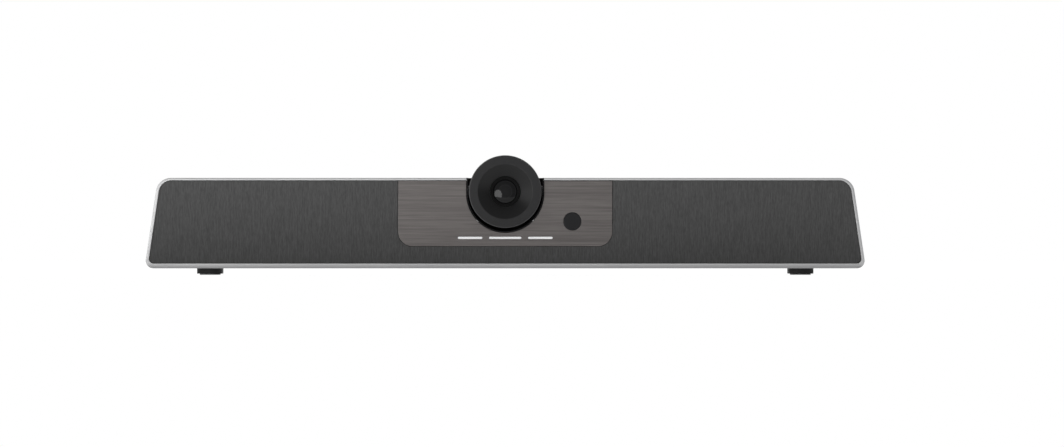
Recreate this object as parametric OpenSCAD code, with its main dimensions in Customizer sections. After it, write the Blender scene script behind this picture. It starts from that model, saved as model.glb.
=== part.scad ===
// Conference camera: a low bar with a tilting camera head, two drivers and a microphone row.
// X runs along the bar, -Y is the front, Z = 0 is the table and X = 0 the middle of the head.

/* [Bar] */
// Width along the lower edge, before its corners are rounded
bar_bottom_w = 662.4; // [600:0.1:720]
// Width along the top edge, before its corners are rounded
bar_top_w = 637.9; // [580:0.1:660]
// Height of the bar without its feet
bar_h = 83.1; // [80:0.1:96]
// Depth of the wrapped metal sleeve
bar_depth = 86; // [82:1:110]
// Radius of the two top corners
top_corner_r = 14; // [6:0.5:18]
// Radius of the two bottom corners
bottom_corner_r = 7; // [4:0.5:12]
// Thickness of the sleeve along the top
top_wall = 2.2; // [1.6:0.1:3]
// Thickness of the sleeve at both ends
side_wall = 2.7; // [1.6:0.1:3.4]
// Thickness of the sleeve along the bottom
bottom_wall = 4.5; // [3.5:0.1:6]

/* [Front] */
// How far the cloth lies behind the sleeve's front edge
rim_recess = 0.8; // [0.4:0.1:2]
// Thickness of the woven cloth
cloth_t = 1; // [0.6:0.1:1.4]
// Thickness of the perforated plate behind the cloth
plate_t = 2; // [1.5:0.1:3]
// Thickness of the moulded baffle
baffle_t = 3; // [2.5:0.1:4]
// Width of the centre panel
panel_w = 196.6; // [180:0.1:214]
// Height of the strip of cloth below the centre panel
panel_lift = 15.8; // [13:0.1:20]
// Thickness of the centre panel
panel_t = 1.8; // [1.2:0.1:2.2]
// How far the centre panel stands proud of the cloth
panel_proud = 0.5; // [0.2:0.1:0.7]
// Radius of the panel's two lower corners
panel_corner_r = 13.3; // [6:0.1:20]
// Height of each status light
light_h = 1.9; // [1.2:0.1:3]
// Length of the outer two status lights
side_light_w = 22.4; // [14:0.1:26]
// Length of the middle status light
mid_light_w = 29.5; // [20:0.1:34]
// Gap between neighbouring status lights
light_gap = 6.3; // [4:0.1:8]
// Height of the lights' centre line above the panel's lower edge
light_lift = 7.7; // [6:0.1:9]
// Diameter of the dark remote receiver window
window_d = 16.5; // [12:0.1:18]
// Distance of the window from the middle of the bar
window_x = 61.7; // [60:0.1:72]
// Height of the window above the panel's lower edge
window_lift = 22.9; // [19:0.1:30]

/* [Camera head] */
// Diameter of the head
head_d = 66.6; // [60:0.1:72]
// Height of the head above the bar's top
head_rise = 20.7; // [16:0.1:26]
// How far the head's face stands in front of the bar
head_reach = 6; // [3:0.5:10]
// Distance of the tilt axis behind the head's face
tilt_setback = 15; // [13:0.5:17]
// Gap seen between the head and the outside of its cradle
cradle_gap = 2.2; // [1.8:0.1:3]
// Height of the head's centre above the centre of the cradle's round
cradle_drop = 2.1; // [1:0.1:3]
// Thickness of the cradle's wall
cradle_wall = 1.05; // [0.8:0.05:1.2]
// Wall of the head's tube
head_wall = 2.4; // [1.8:0.1:3]
// Outer diameter of the coned dish round the lens
dish_d = 50.7; // [44:0.1:56]
// Depth of the coned dish
dish_depth = 8; // [5:0.1:9]
// Diameter of the dark ring round the lens
lens_ring_d = 28.5; // [26:0.1:32]
// Diameter of the front lens
lens_d = 22; // [18:0.1:23]
// Height of the front lens's dome
lens_dome = 2.4; // [1.5:0.1:3.2]
// Diameter of the two tilt pins
pin_d = 6; // [4:0.1:7]

/* [Speakers] */
// Distance between the two drivers' centres
driver_spacing = 420; // [360:1:460]
// Diameter of each driver's basket
basket_d = 60; // [54:0.5:62]
// Diameter of each moving cone at its rim
cone_d = 39.6; // [34:0.1:41]
// Distance of each acoustic box's inner end from the middle
box_start = 118; // [114:1:130]
// Wall of the acoustic boxes
box_wall = 2.2; // [1.8:0.1:3]

/* [Rear] */
// Thickness of the rear cover
cover_t = 2.5; // [2:0.1:3]
// How far the middle of the rear cover stands behind the sleeve
hump_depth = 6; // [4:0.5:10]
// Width of the raised middle at its back face
hump_w = 276; // [260:1:320]
// Width of the recess that holds the sockets
bay_w = 118; // [112:1:130]
// Height of the recess that holds the sockets
bay_h = 17; // [15:0.5:20]
// Length of each cooling slot
vent_l = 22; // [12:1:26]
// Width of each cooling slot
vent_w = 2.4; // [1.6:0.1:3]
// Distance between neighbouring cooling slots
vent_pitch = 6.6; // [5:0.1:8]

/* [Feet] */
// Height of the bar's underside above the table
foot_h = 5.9; // [5:0.1:9]
// Width of each foot
foot_w = 23.3; // [20:0.1:30]
// Length of each foot from front to back
foot_l = 66; // [54:1:74]
// Distance between the two feet's centres
foot_spacing = 543.6; // [500:0.1:570]
// Width of each rubber pad
pad_w = 18.2; // [16:0.1:19]
// Height of rubber that stands out below the foot
pad_h = 1; // [0.6:0.1:1.6]

/* [Underside mounts] */
// Drill radius of the tripod thread
tripod_thread_r = 2.55; // [2.5:0.05:2.6]
// Drill radius of the bracket threads
bracket_thread_r = 1.65; // [1.6:0.05:1.7]
// Distance between the two bracket threads
bracket_spacing = 100; // [75:1:120]

/* [Hidden] */
$fn = 64;
// Sides of the large circles that the lenses' shallow faces are cut from
lens_sides = 400;

// Overrun of every cut past the face it opens
cut = 1;
// How far the bar's round corners swell past its straight sides, so that the two cross cleanly
seam = 0.01;
// Clearance between pieces that fit inside one another
fit = 0.2;
// Radial clearance of the head's pins in the cradle and in the washers
pin_fit = 0.05;
// Radial clearance of a screw's shank in its pilot hole
thread_fit = 0.1;

// Planes of the bar
bar_z0 = foot_h;
bar_z1 = foot_h + bar_h;
in_z0 = bar_z0 + bottom_wall;
in_z1 = bar_z1 - top_wall;
front_y = -bar_depth / 2;
back_y = bar_depth / 2;
lean = (bar_bottom_w - bar_top_w) / 2 / bar_h;
lean_angle = atan(lean);
top_in_r = top_corner_r - top_wall;
bottom_in_r = bottom_corner_r - side_wall;

// Planes of the front, from the sleeve's edge inwards
cloth_y = front_y + rim_recess;
plate_y = cloth_y + cloth_t;
baffle_y = plate_y + plate_t;
baffle_back_y = baffle_y + baffle_t;
panel_y = cloth_y - panel_proud;
pad_front_y = panel_y + panel_t;
panel_z0 = in_z0 + panel_lift;
light_z = panel_z0 + light_lift;
window_z = panel_z0 + window_lift;

// Planes and radii of the camera head; h is the distance in front of the tilt axis
head_r = head_d / 2;
head_z = bar_z1 + head_rise - head_r;
tilt_y = front_y - head_reach + tilt_setback;
tube_in_r = head_r - head_wall;
shell_r = sqrt(head_r * head_r + tilt_setback * tilt_setback);
cradle_r = head_r + cradle_gap;
cradle_in_r = cradle_r - cradle_wall;
cradle_z = head_z - cradle_drop;
cradle_back_gap = 1.6;
cradle_back_wall = 2;
cradle_back_y = tilt_y + shell_r + cradle_back_gap + cradle_back_wall;
ear_r = 6.5;
ear_t = 4.6;
ear_x = cradle_in_r + ear_t;
pin_r = pin_d / 2;
pin_head_r = 5;
pin_head_t = 1.6;
pin_grip = 7.8;
washer_r = 5.2;
// The washers stop where their lowest point meets the cradle's round wall
washer_low = max(washer_r - cradle_drop, 0);
washer_face_x = sqrt(cradle_in_r * cradle_in_r - washer_low * washer_low) - pin_fit;
spot_depth = 0.2;
lug_t = 2.2;
lug_w = 16;
top_gap = 1.5;
ear_pocket_gap = 1;
ear_pocket_x = ear_x + pin_head_t + ear_pocket_gap;
lug_drop = 24;
lug_z = cradle_z - lug_drop;
flex_w = 10;
flex_t = 0.5;
flex_bend = 3;
flex_slot_h = 3.5;
flex_leave_share = 0.84;
plug_w = 12;
plug_h = 2.7;
plug_t = 1.5;
plug_y = -17.2;
pin_boss_r = 5.4;
boss_floor = 1.8;
flex_drop = 22;
flex_z = cradle_z - flex_drop;

// Inside of the camera head
bezel_t = 2;
bezel_chamfer = 0.8;
bezel_wall = 1.6;
spigot_h = 4;
spigot_wall = 1.8;
dish_r = dish_d / 2;
ring_r = lens_ring_d / 2;
lens_r = lens_d / 2;
barrel_face = tilt_setback - dish_depth - fit;
barrel_shoulder = -1;
lens_seat = 3;
stem_r = 9;
stem_l = 5;
mount_r = 13;
mount_chamber = 3;
mount_chamber_r = 11;
mid_lens_r = 7.4;
mid_lens_t = 3;
rear_lens_r = 6.4;
rear_lens_t = 3;
lens_sag = 0.8;
lens_edge = 2.2;
ring_bevel = 0.4;
bulkhead_front = -8;
bulkhead_t = 2;
bulkhead_in_r = 16;
board_t = 1.2;
sensor_board_r = 20;
sensor_w = 12.8;
sensor_h = 9.6;
sensor_t = 1.4;
sink_r = 15;
sink_base = 2;
sink_h = 12;
sink_fin_t = 1.2;
sink_pitch = 5;
cap_wall = 2.2;
cap_screw_r = 24.5;
cap_boss_r = 4;
cap_post_h = 4.5;
cap_bite = 5.5;
cap_spigot = 3;
cap_slot_y = -18;
cap_slot_h = 4;
cap_screw_angles = [90, 210, 330];

// One driver; d is the distance in front of the basket's face
driver_x = driver_spacing / 2;
driver_z = (in_z0 + in_z1) / 2;
basket_r = basket_d / 2;
basket_flange_t = 2;
basket_depth = 16.6;
basket_ear_r = 3.4;
basket_rim = 4;
baffle_hole_r = basket_r - basket_rim;
roll_inset = 6.4;
roll_out_r = basket_r - roll_inset;
roll_t = 0.5;
cone_r = cone_d / 2;
cone_t = 0.6;
lip_w = 1.6;
coil_r = 8.7;
coil_wall = 0.5;
coil_depth = 24;
neck_depth = 9.5;
spider_depth = 11;
spider_t = 0.5;
spider_r = 20;
spider_wave = 0.7;
spider_waves = 4;
frame_t = 1.6;
frame_inset = 2.6;
lip_depth = 0.7;
window_w = 14;
window_h = 6;
magnet_r = 21;
plate_r = 19.6;
plate_h = 3;
magnet_h = 7;
backplate_h = 3.4;
pole_r = 7.6;
gap_r = 9.8;
box_clear = 0.4;
box_back_gap = 5;
box_back_y = back_y - box_back_gap;
least_r = 0.4;
foot_boss_h = 10;

// Screws: M3 for the housing, M2.5 for boards and drivers
m3_r = 1.4;
m3_hole_r = 1.65;
m3_head_r = 2.8;
m3_head_t = 1.6;
m3_boss_r = 4;
small_r = 1.2;
small_hole_r = 1.35;
small_head_r = 2.2;
small_head_t = 1.4;
cover_screw_grip = 8;
small_bite = 2.2;
cover_post = 1.5;
hump_slope = 12;
screw_end_gap = 20;
screw_hump_gap = 8;
screw_low_gap = 11;
screw_high_gap = 12;
narrow_w = min(bar_top_w, bar_bottom_w);
cover_screw_x = [narrow_w / 2 - screw_end_gap, hump_w / 2 + hump_slope + screw_hump_gap];
cover_screw_z = [in_z0 + screw_low_gap, in_z1 - screw_high_gap];
cover_face_y = back_y - cover_t;

// Rear cover
hump_low_gap = 3;
hump_high_gap = 6;
hump_z0 = in_z0 + hump_low_gap;
hump_z1 = in_z1 - hump_high_gap;
hump_back_y = back_y + hump_depth;
port_y = back_y + cover_t / 2;
bay_rim = 2.2;
vent_count = 27;
lock_w = 7;
lock_h = 3;

// Tray, board and sockets
tray_t = 2;
box_tray_gap = 8;
tray_w = 2 * (box_start - box_tray_gap);
tray_front_gap = 3;
tray_back_gap = 2;
tray_front_y = baffle_back_y + tray_front_gap;
tray_back_y = cover_face_y - tray_back_gap;
standoff_h = 4.6;
board_z = in_z0 + tray_t + standoff_h;
main_board_t = 1.6;
board_top = board_z + main_board_t;
board_edge = 8;
board_w = tray_w - 2 * board_edge;
board_front_gap = 5;
board_back_gap = 0.6;
board_front_y = baffle_back_y + board_front_gap;
board_back_y = cover_face_y - board_back_gap;
board_hole_in = 6;
board_holes = [for (s = [-1, 1], y = [board_front_y + board_hole_in, board_back_y - board_hole_in])
  [s * (board_w / 2 - board_hole_in), y]];
tray_screw_gap = 22;
tray_screw_y = 19;
tray_screw_spots = [for (s = [-1, 1], y = [-tray_screw_y, tray_screw_y])
  [s * (bracket_spacing / 2 + tray_screw_gap), y]];
bay_drop = 2.2;
bay_z0 = board_top - bay_drop;
bay_z1 = bay_z0 + bay_h;
dc_x = -47;
dc_w = 9;
dc_h = 11;
dc_bore_r = 3.1;
dc_pin_r = 1;
hdmi_x = -22;
hdmi_w = 15;
hdmi_h = 5.8;
usb_x = 2;
usb_w = 9;
usb_h = 3.3;
socket_l = 12;
socket_wall = 0.5;
jack_x = 22;
jack_w = 7.6;
jack_h = 6.4;
jack_bore_r = 1.75;
jack_l = 13;
button_x = 44;
button_r = 4.2;
button_lift = 6;
button_z = board_top + button_lift;
button_proud = 1.4;
button_travel = 0.8;
button_flange = 1;
button_stem_r = 1.5;
switch_l = 6;
switch_w = 6;
switch_tip = 1.2;
switch_gap = 1.5;
switch_tip_y = cover_face_y - switch_gap;
vent_z = (bay_z1 + bay_rim + hump_z1 - cover_t) / 2;
lock_gap = 16;
lock_x = bay_w / 2 + lock_gap;
hdmi_tongue_w = 12;
hdmi_tongue_t = 1.4;
usb_wall = 0.35;
usb_tongue_w = 6.2;
usb_tongue_t = 0.7;
standoff_r = 3;
cpu_inset = 40;
cpu_x = cpu_inset - board_w / 2;
cpu_y = 4;
cpu_w = 24;
cpu_t = 2.4;
cpu_sink_w = 44;
cpu_sink_h = 22;
chip_shares = [[0.3, 0.1], [0.2, -0.17], [0.4, 0.18], [-0.13, -0.2], [0.4, -0.1], [0.13, 0.14]];
chip_sizes = [[18, 18, 1.6], [10, 10, 1.2], [8, 12, 6], [12, 8, 1.4], [7, 7, 3.5], [9, 6, 1.2]];

// Feet
foot_screw_y = 20;
pad_sunk = 1.2;
pad_l = foot_l - foot_w + pad_w;
foot_z = pad_h;

// Under the tray
bush_r = 5;
bush_flange_r = 8;
bush_flange_t = 1.5;
insert_r = 3.2;
insert_flange_r = 4.6;
insert_flange_t = 1;

// Front details
pad_margin = 3;
light_fit = 0.1;
rail_end = 1;
rail_lip = 1.3;
rail_w = mid_light_w + 2 * (light_gap + side_light_w + rail_end);
rail_h = light_h + 2 * rail_lip;
rail_t = 1.3;
led_board_end = 2;
led_board_w = rail_w + 2 * led_board_end;
led_board_h = 8;
led_x = mid_light_w / 2 + light_gap + side_light_w / 2;
led_step = 5;
led_w = 3.2;
led_h = 1.4;
led_t = 1;
ir_board_w = 14;
ir_ledge = 2;
ir_hole_r = window_d / 2 - ir_ledge;
ir_body_w = 5.5;
ir_body_t = 2;
ir_lens_r = 2.6;
ir_lens_h = 1;
mic_board_w = 172;
mic_board_h = 7;
mic_lift = 6.2;
mic_z = in_z0 + mic_lift;
mic_count = 6;
mic_pitch = 30;
mic_port_r = 0.8;
mic_can_w = 4;
mic_can_h = 3;
mic_can_t = 1.1;
hole_field_r = 22;
hole_pitch = 6.4;
hole_r = 2;

// Half the bar's width at height z
function half_w(z) = bar_bottom_w / 2 - (z - bar_z0) * lean;

// A box from its two corners
module block(a, b) {
  translate(a) cube(b - a);
}

// An outline drawn in X and Z, given depth from y0 at the front to y1 at the back
module slab(y0, y1) {
  translate([0, y1, 0]) rotate([90, 0, 0]) linear_extrude(height = y1 - y0) children();
}

// An outline drawn in X and Y, given height from z0 to z1
module layer(z0, z1) {
  translate([0, 0, z0]) linear_extrude(height = z1 - z0) children();
}

// Round bars along each axis
module rod_y(x, z, r, y0, y1) {
  translate([x, y1, z]) rotate([90, 0, 0]) cylinder(r = r, h = y1 - y0);
}

module rod_x(y, z, r, x0, x1) {
  translate([x0, y, z]) rotate([0, 90, 0]) cylinder(r = r, h = x1 - x0);
}

module rod_z(x, y, r, z0, z1) {
  translate([x, y, z0]) cylinder(r = r, h = z1 - z0);
}

// The bar's outline, drawn in by a wall on each side: a leaning four-sided form with true round corners
module bar_outline(side, top, bottom, r_top, r_bottom) {
  z0 = bar_z0 + bottom + r_bottom;
  z1 = bar_z1 - top - r_top;
  x0 = half_w(z0) - (side + r_bottom) / cos(lean_angle);
  x1 = half_w(z1) - (side + r_top) / cos(lean_angle);
  across = [cos(lean_angle), sin(lean_angle)];
  right = [
    [x0, z0 - r_bottom], [x0, z0] + r_bottom * across,
    [x1, z1] + r_top * across, [x1, z1 + r_top]
  ];
  left = [for (i = [3:-1:0]) [-right[i][0], right[i][1]]];
  polygon(concat(right, left));
  for (s = [-1, 1]) {
    translate([s * x0, z0]) circle(r_bottom + seam);
    translate([s * x1, z1]) circle(r_top + seam);
  }
}

// The opening inside the sleeve, drawn in by a clearance
module inner_outline(clear) {
  bar_outline(side_wall + clear, top_wall + clear, bottom_wall + clear,
              top_in_r - clear, bottom_in_r - clear);
}

// The centre panel's outline: square on top, round at its two lower corners
module panel_outline(grow, top) {
  w = panel_w / 2 + grow;
  r = panel_corner_r + grow;
  z0 = panel_z0 - grow;
  translate([-w, z0 + r]) square([2 * w, top - z0 - r]);
  translate([-w + r, z0]) square([2 * (w - r), r]);
  for (s = [-1, 1]) translate([s * (w - r), z0 + r]) circle(r);
}

// The cradle's outline: a half round with straight sides up to the given height
module cradle_outline(r, top) {
  intersection() {
    translate([0, cradle_z]) circle(r);
    translate([-2 * r, cradle_z - 2 * r]) square([4 * r, 2 * r]);
  }
  translate([-r, cradle_z]) square([2 * r, top - cradle_z]);
}

// A bar with round ends, lying along X or Z
module rounded_bar(w, h) {
  r = min(w, h) / 2;
  square([max(w - 2 * r, 0) + (w > h ? 0 : w), max(h - 2 * r, 0) + (h > w ? 0 : h)], center = true);
  for (s = [-1, 1]) translate([s * (w / 2 - r), s * (h / 2 - r)]) circle(r);
}

// The three status lights' outlines, larger than the light by grow on every side
module light_outlines(grow) {
  translate([0, light_z]) rounded_bar(mid_light_w + 2 * grow, light_h + 2 * grow);
  for (s = [-1, 1]) {
    translate([s * led_x, light_z]) rounded_bar(side_light_w + 2 * grow, light_h + 2 * grow);
  }
}

// Places of a row of microphones
function mic_x(i) = (i - (mic_count - 1) / 2) * mic_pitch;

module at_cover_screws() {
  for (x = cover_screw_x, s = [-1, 1], z = cover_screw_z) translate([s * x, 0, z]) children();
}

module at_foot_screws() {
  for (s = [-1, 1], y = [-foot_screw_y, foot_screw_y]) {
    translate([s * foot_spacing / 2, y, 0]) children();
  }
}

module housing_shell() {
  color("silver") difference() {
    slab(front_y, back_y) difference() {
      union() bar_outline(0, 0, 0, top_corner_r, bottom_corner_r);
      union() inner_outline(0);
    }
    block([-cradle_r - fit, front_y - cut, in_z1 - cut],
          [cradle_r + fit, cradle_back_y + fit, bar_z1 + cut]);
    at_foot_screws() cylinder(r = m3_hole_r, h = in_z0 + cut);
    for (p = tray_screw_spots) translate([p[0], p[1], 0]) {
      cylinder(r = m3_hole_r, h = in_z0 + cut);
      cylinder(r = m3_head_r + fit, h = bar_z0 + m3_head_t + fit);
    }
    cylinder(r = bush_r + fit, h = in_z0 + cut);
    for (s = [-1, 1]) rod_z(s * bracket_spacing / 2, 0, insert_r + fit, bar_z0 - cut, in_z0 + cut);
  }
}

module rear_cover() {
  half = hump_w / 2;
  color("#202124") difference() {
    union() {
      difference() {
        union() {
          slab(cover_face_y, back_y) union() inner_outline(fit);
          layer(hump_z0, hump_z1) polygon([
            [-half - hump_slope, cover_face_y], [half + hump_slope, cover_face_y],
            [half + hump_slope, back_y], [half, hump_back_y], [-half, hump_back_y],
            [-half - hump_slope, back_y]
          ]);
        }
        block([-half + cover_t, cover_face_y - cut, hump_z0 + cover_t],
              [half - cover_t, hump_back_y - cover_t, hump_z1 - cover_t]);
      }
      block([-bay_w / 2 - bay_rim, port_y - cover_t, bay_z0 - bay_rim],
            [bay_w / 2 + bay_rim, hump_back_y, bay_z1 + bay_rim]);
      at_cover_screws() rod_y(0, 0, m3_boss_r, cover_face_y - cover_post, cover_face_y + cover_t / 2);
    }
    block([-bay_w / 2, port_y, bay_z0], [bay_w / 2, hump_back_y + cut, bay_z1]);
    slab(port_y - cover_t - cut, port_y + cut) port_outlines(fit);
    slab(hump_back_y - cover_t - cut, hump_back_y + cut) {
      for (i = [0:vent_count - 1]) {
        translate([(i - (vent_count - 1) / 2) * vent_pitch, vent_z]) rounded_bar(vent_w, vent_l);
      }
      translate([lock_x, (bay_z0 + bay_z1) / 2]) rounded_bar(lock_w, lock_h);
    }
    at_cover_screws() {
      rod_y(0, 0, m3_hole_r, cover_face_y - cover_post - cut, back_y);
      rod_y(0, 0, m3_head_r + fit, back_y - m3_head_t, back_y + cut);
    }
  }
}

// The sockets' openings in the floor of the bay
module port_outlines(grow) {
  translate([dc_x - dc_w / 2 - grow, board_top - grow]) square([dc_w + 2 * grow, dc_h + 2 * grow]);
  translate([hdmi_x - hdmi_w / 2 - grow, board_top - grow]) square([hdmi_w + 2 * grow, hdmi_h + 2 * grow]);
  translate([usb_x, board_top + usb_h / 2]) rounded_bar(usb_w + 2 * grow, usb_h + 2 * grow);
  translate([jack_x - jack_w / 2 - grow, board_top - grow]) square([jack_w + 2 * grow, jack_h + 2 * grow]);
  translate([button_x, button_z]) circle(button_r + grow);
}

// The holes of the perforated plate in front of one driver, in staggered rows
module perforation() {
  rows = floor(hole_field_r / hole_pitch);
  for (j = [-rows - 1:rows + 1], i = [-rows - 1:rows + 1]) {
    p = [(i + (j % 2 == 0 ? 0 : 0.5)) * hole_pitch, j * hole_pitch * sqrt(3) / 2];
    if (norm(p) < hole_field_r) translate(p) circle(hole_r);
  }
}

module front_baffle() {
  color("#2a2b2e") difference() {
    union() {
      slab(baffle_y, baffle_back_y) union() inner_outline(fit);
      slab(pad_front_y, baffle_y) union() panel_outline(-pad_margin, in_z1 - fit - pad_margin);
    }
    for (s = [-1, 1]) rod_y(s * driver_x, driver_z, baffle_hole_r, baffle_y - cut, baffle_back_y + cut);
    slab(pad_front_y - cut, baffle_back_y + cut) {
      cradle_outline(cradle_r + fit, bar_z1 + cut);
      translate([-ear_pocket_x, head_z - ear_r - fit]) square([2 * ear_pocket_x, 2 * (ear_r + fit)]);
      light_outlines(fit);
      translate([window_x, window_z]) circle(ir_hole_r);
      for (i = [0:mic_count - 1]) translate([mic_x(i), mic_z]) circle(mic_port_r);
    }
    block([-rail_w / 2 - fit, pad_front_y - cut, light_z - rail_h / 2 - fit],
          [rail_w / 2 + fit, pad_front_y + rail_t, light_z + rail_h / 2 + fit]);
    at_driver_screws() cylinder(r = small_r + thread_fit, h = small_bite + fit);
    at_cradle_screws()
      rod_y(0, 0, small_r + thread_fit, baffle_back_y - small_bite - fit, baffle_back_y + cut);
  }
}

module grille_plate() {
  color("#33353a") slab(plate_y, baffle_y) difference() {
    union() inner_outline(fit);
    union() panel_outline(fit, in_z1 + cut);
    union() for (s = [-1, 1]) translate([s * driver_x, driver_z]) perforation();
    union() for (i = [0:mic_count - 1]) translate([mic_x(i), mic_z]) circle(mic_port_r);
  }
}

module grille_cloth() {
  color("#49494b") slab(cloth_y, plate_y) difference() {
    union() inner_outline(fit);
    union() panel_outline(fit, in_z1 + cut);
  }
}

module centre_panel() {
  color("#67625f") slab(panel_y, pad_front_y) difference() {
    union() panel_outline(0, in_z1 - fit);
    union() cradle_outline(cradle_r + fit, bar_z1);
    union() light_outlines(light_fit);
    translate([window_x, window_z]) circle(window_d / 2 + light_fit);
  }
}

module status_light_guide() {
  color("white") union() {
    slab(panel_y, pad_front_y + rail_t / 2) union() light_outlines(0);
    block([-rail_w / 2, pad_front_y, light_z - rail_h / 2],
          [rail_w / 2, pad_front_y + rail_t, light_z + rail_h / 2]);
  }
}

module status_led_board() {
  color("#1f4d35") union() {
    block([-led_board_w / 2, baffle_back_y, light_z - led_board_h / 2],
          [led_board_w / 2, baffle_back_y + board_t, light_z + led_board_h / 2]);
    for (x = [-led_x, 0, led_x], i = [-1, 1]) {
      translate([x + i * led_step, baffle_back_y - led_t / 2 + fit / 2, light_z])
        cube([led_w, led_t + fit, led_h], center = true);
    }
  }
}

module ir_window() {
  color("#29292a") rod_y(window_x, window_z, window_d / 2, panel_y, pad_front_y);
}

module ir_receiver_board() {
  color("#1f4d35") union() {
    translate([window_x, baffle_back_y + board_t / 2, window_z])
      cube([ir_board_w, board_t, ir_board_w], center = true);
    translate([window_x, baffle_back_y - ir_body_t / 2 + fit / 2, window_z])
      cube([ir_body_w, ir_body_t + fit, ir_body_w], center = true);
    rod_y(window_x, window_z, ir_lens_r, baffle_back_y - ir_body_t - ir_lens_h, baffle_back_y);
  }
}

module camera_cradle() {
  color("#141415") difference() {
    union() {
      slab(front_y, cradle_back_y) difference() {
        union() cradle_outline(cradle_r, bar_z1);
        union() cradle_outline(cradle_in_r, bar_z1 + cut);
      }
      slab(cradle_back_y - cradle_back_wall, cradle_back_y) union() cradle_outline(cradle_r, bar_z1);
      both_sides() rod_x(tilt_y, head_z, ear_r, cradle_r - cradle_wall / 2, ear_x);
      slab(baffle_back_y, baffle_back_y + lug_t) difference() {
        translate([-cradle_r - lug_w, lug_z]) square([2 * (cradle_r + lug_w), in_z1 - top_gap - lug_z]);
        union() cradle_outline(cradle_r - cradle_wall / 2, bar_z1);
      }
    }
    both_sides() {
      rod_x(tilt_y, head_z, pin_r + pin_fit, cradle_in_r - cut, ear_x + cut);
      rod_x(tilt_y, head_z, pin_head_r + fit, ear_x, ear_x + pin_head_t + 2 * fit);
    }
    block([-flex_w / 2 - fit, cradle_back_y - cradle_back_wall - cut, flex_z - flex_slot_h / 2],
          [flex_w / 2 + fit, cradle_back_y + cut, flex_z + flex_slot_h / 2]);
    at_cradle_screws() rod_y(0, 0, small_hole_r, baffle_back_y - cut, baffle_back_y + lug_t + cut);
  }
}

// Draws its children on the right and again, mirrored, on the left
module both_sides() {
  children();
  mirror([1, 0, 0]) children();
}

module at_cradle_screws() {
  for (s = [-1, 1], z = [lug_z + lug_w / 3, in_z1 - top_gap - lug_w / 3]) {
    translate([s * (cradle_r + lug_w * 0.6), 0, z]) children();
  }
}

// The head's own frame: Z along its axis towards the front, from the tilt axis
module at_head() {
  translate([0, tilt_y, head_z]) rotate([90, 0, 0]) children();
}

// A disc of the head's frame between two planes
module disc(r, z0, z1) {
  translate([0, 0, z0]) cylinder(r = r, h = z1 - z0);
}

module at_cap_screws() {
  for (a = cap_screw_angles) rotate([0, 0, a]) translate([cap_screw_r, 0, 0]) children();
}

module tilt_pins() {
  color("#8d9094") both_sides() union() {
    rod_x(tilt_y, head_z, pin_r, head_r - pin_grip, ear_x + fit / 2);
    rod_x(tilt_y, head_z, pin_head_r, ear_x + fit / 2, ear_x + fit / 2 + pin_head_t);
  }
}

module tilt_washers() {
  color("#3b3b3d") both_sides() difference() {
    rod_x(tilt_y, head_z, washer_r, head_r - spot_depth, washer_face_x);
    rod_x(tilt_y, head_z, pin_r + pin_fit, head_r - spot_depth - cut, cradle_in_r + cut);
  }
}

module head_barrel() {
  color("#2b2c2e") difference() {
    union() {
      at_head() difference() {
        disc(head_r, -tilt_setback, tilt_setback - bezel_t);
        disc(tube_in_r, -tilt_setback - cut, tilt_setback + cut);
      }
      at_head() difference() {
        disc(tube_in_r + head_wall / 2, bulkhead_front - bulkhead_t, bulkhead_front);
        disc(bulkhead_in_r, bulkhead_front - bulkhead_t - cut, bulkhead_front + cut);
      }
      at_head() at_cap_screws() disc(cap_boss_r, -tilt_setback, bulkhead_front - bulkhead_t / 2);
      both_sides()
        rod_x(tilt_y, head_z, pin_boss_r, head_r - pin_grip - boss_floor, head_r - head_wall / 2);
    }
    both_sides() {
      rod_x(tilt_y, head_z, pin_r + pin_fit / 2, head_r - pin_grip - fit, head_r + cut);
      rod_x(tilt_y, head_z, washer_r + fit, head_r - spot_depth, head_r + cut);
    }
    at_head() at_cap_screws() disc(small_r + thread_fit, -tilt_setback - cut, -tilt_setback + cap_bite);
  }
}

module head_rear_cap() {
  color("#232425") at_head() difference() {
    union() {
      difference() {
        intersection() {
          sphere(shell_r);
          disc(head_r + cut, -shell_r - cut, -tilt_setback);
        }
        sphere(shell_r - cap_wall);
      }
      difference() {
        disc(tube_in_r - fit, -tilt_setback - cap_wall, -tilt_setback + cap_spigot);
        disc(tube_in_r - fit - spigot_wall, -tilt_setback - cap_wall - cut, -tilt_setback + cap_spigot + cut);
      }
      intersection() {
        at_cap_screws() disc(cap_boss_r, -shell_r, -tilt_setback);
        sphere(shell_r - cap_wall / 2);
      }
    }
    at_cap_screws() {
      disc(small_hole_r, -shell_r, -tilt_setback + cut);
      disc(small_head_r + fit, -shell_r - cut, -tilt_setback - cap_post_h);
    }
    translate([-flex_w / 2 - fit, cap_slot_y - cap_slot_h / 2, -shell_r - cut])
      cube([flex_w + 2 * fit, cap_slot_h, shell_r - tilt_setback - cap_spigot]);
  }
}

module head_bezel() {
  f = tilt_setback;
  run = dish_r - ring_r;
  slant = norm([run, dish_depth]);
  back_r = bezel_wall * dish_depth / slant;
  back_z = bezel_wall * run / slant;
  spigot_r = tube_in_r - fit;
  color("#333436") at_head() rotate_extrude() polygon([
    [head_r, f - bezel_t], [head_r, f - bezel_chamfer], [head_r - bezel_chamfer, f], [dish_r, f],
    [ring_r, f - dish_depth], [ring_r, f - dish_depth - back_z],
    [ring_r + back_r, f - dish_depth - back_z],
    [dish_r + back_r - (bezel_t - back_z) * run / dish_depth, f - bezel_t],
    [spigot_r - spigot_wall, f - bezel_t], [spigot_r - spigot_wall, f - bezel_t - spigot_h],
    [spigot_r, f - bezel_t - spigot_h], [spigot_r, f - bezel_t]
  ]);
}

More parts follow.
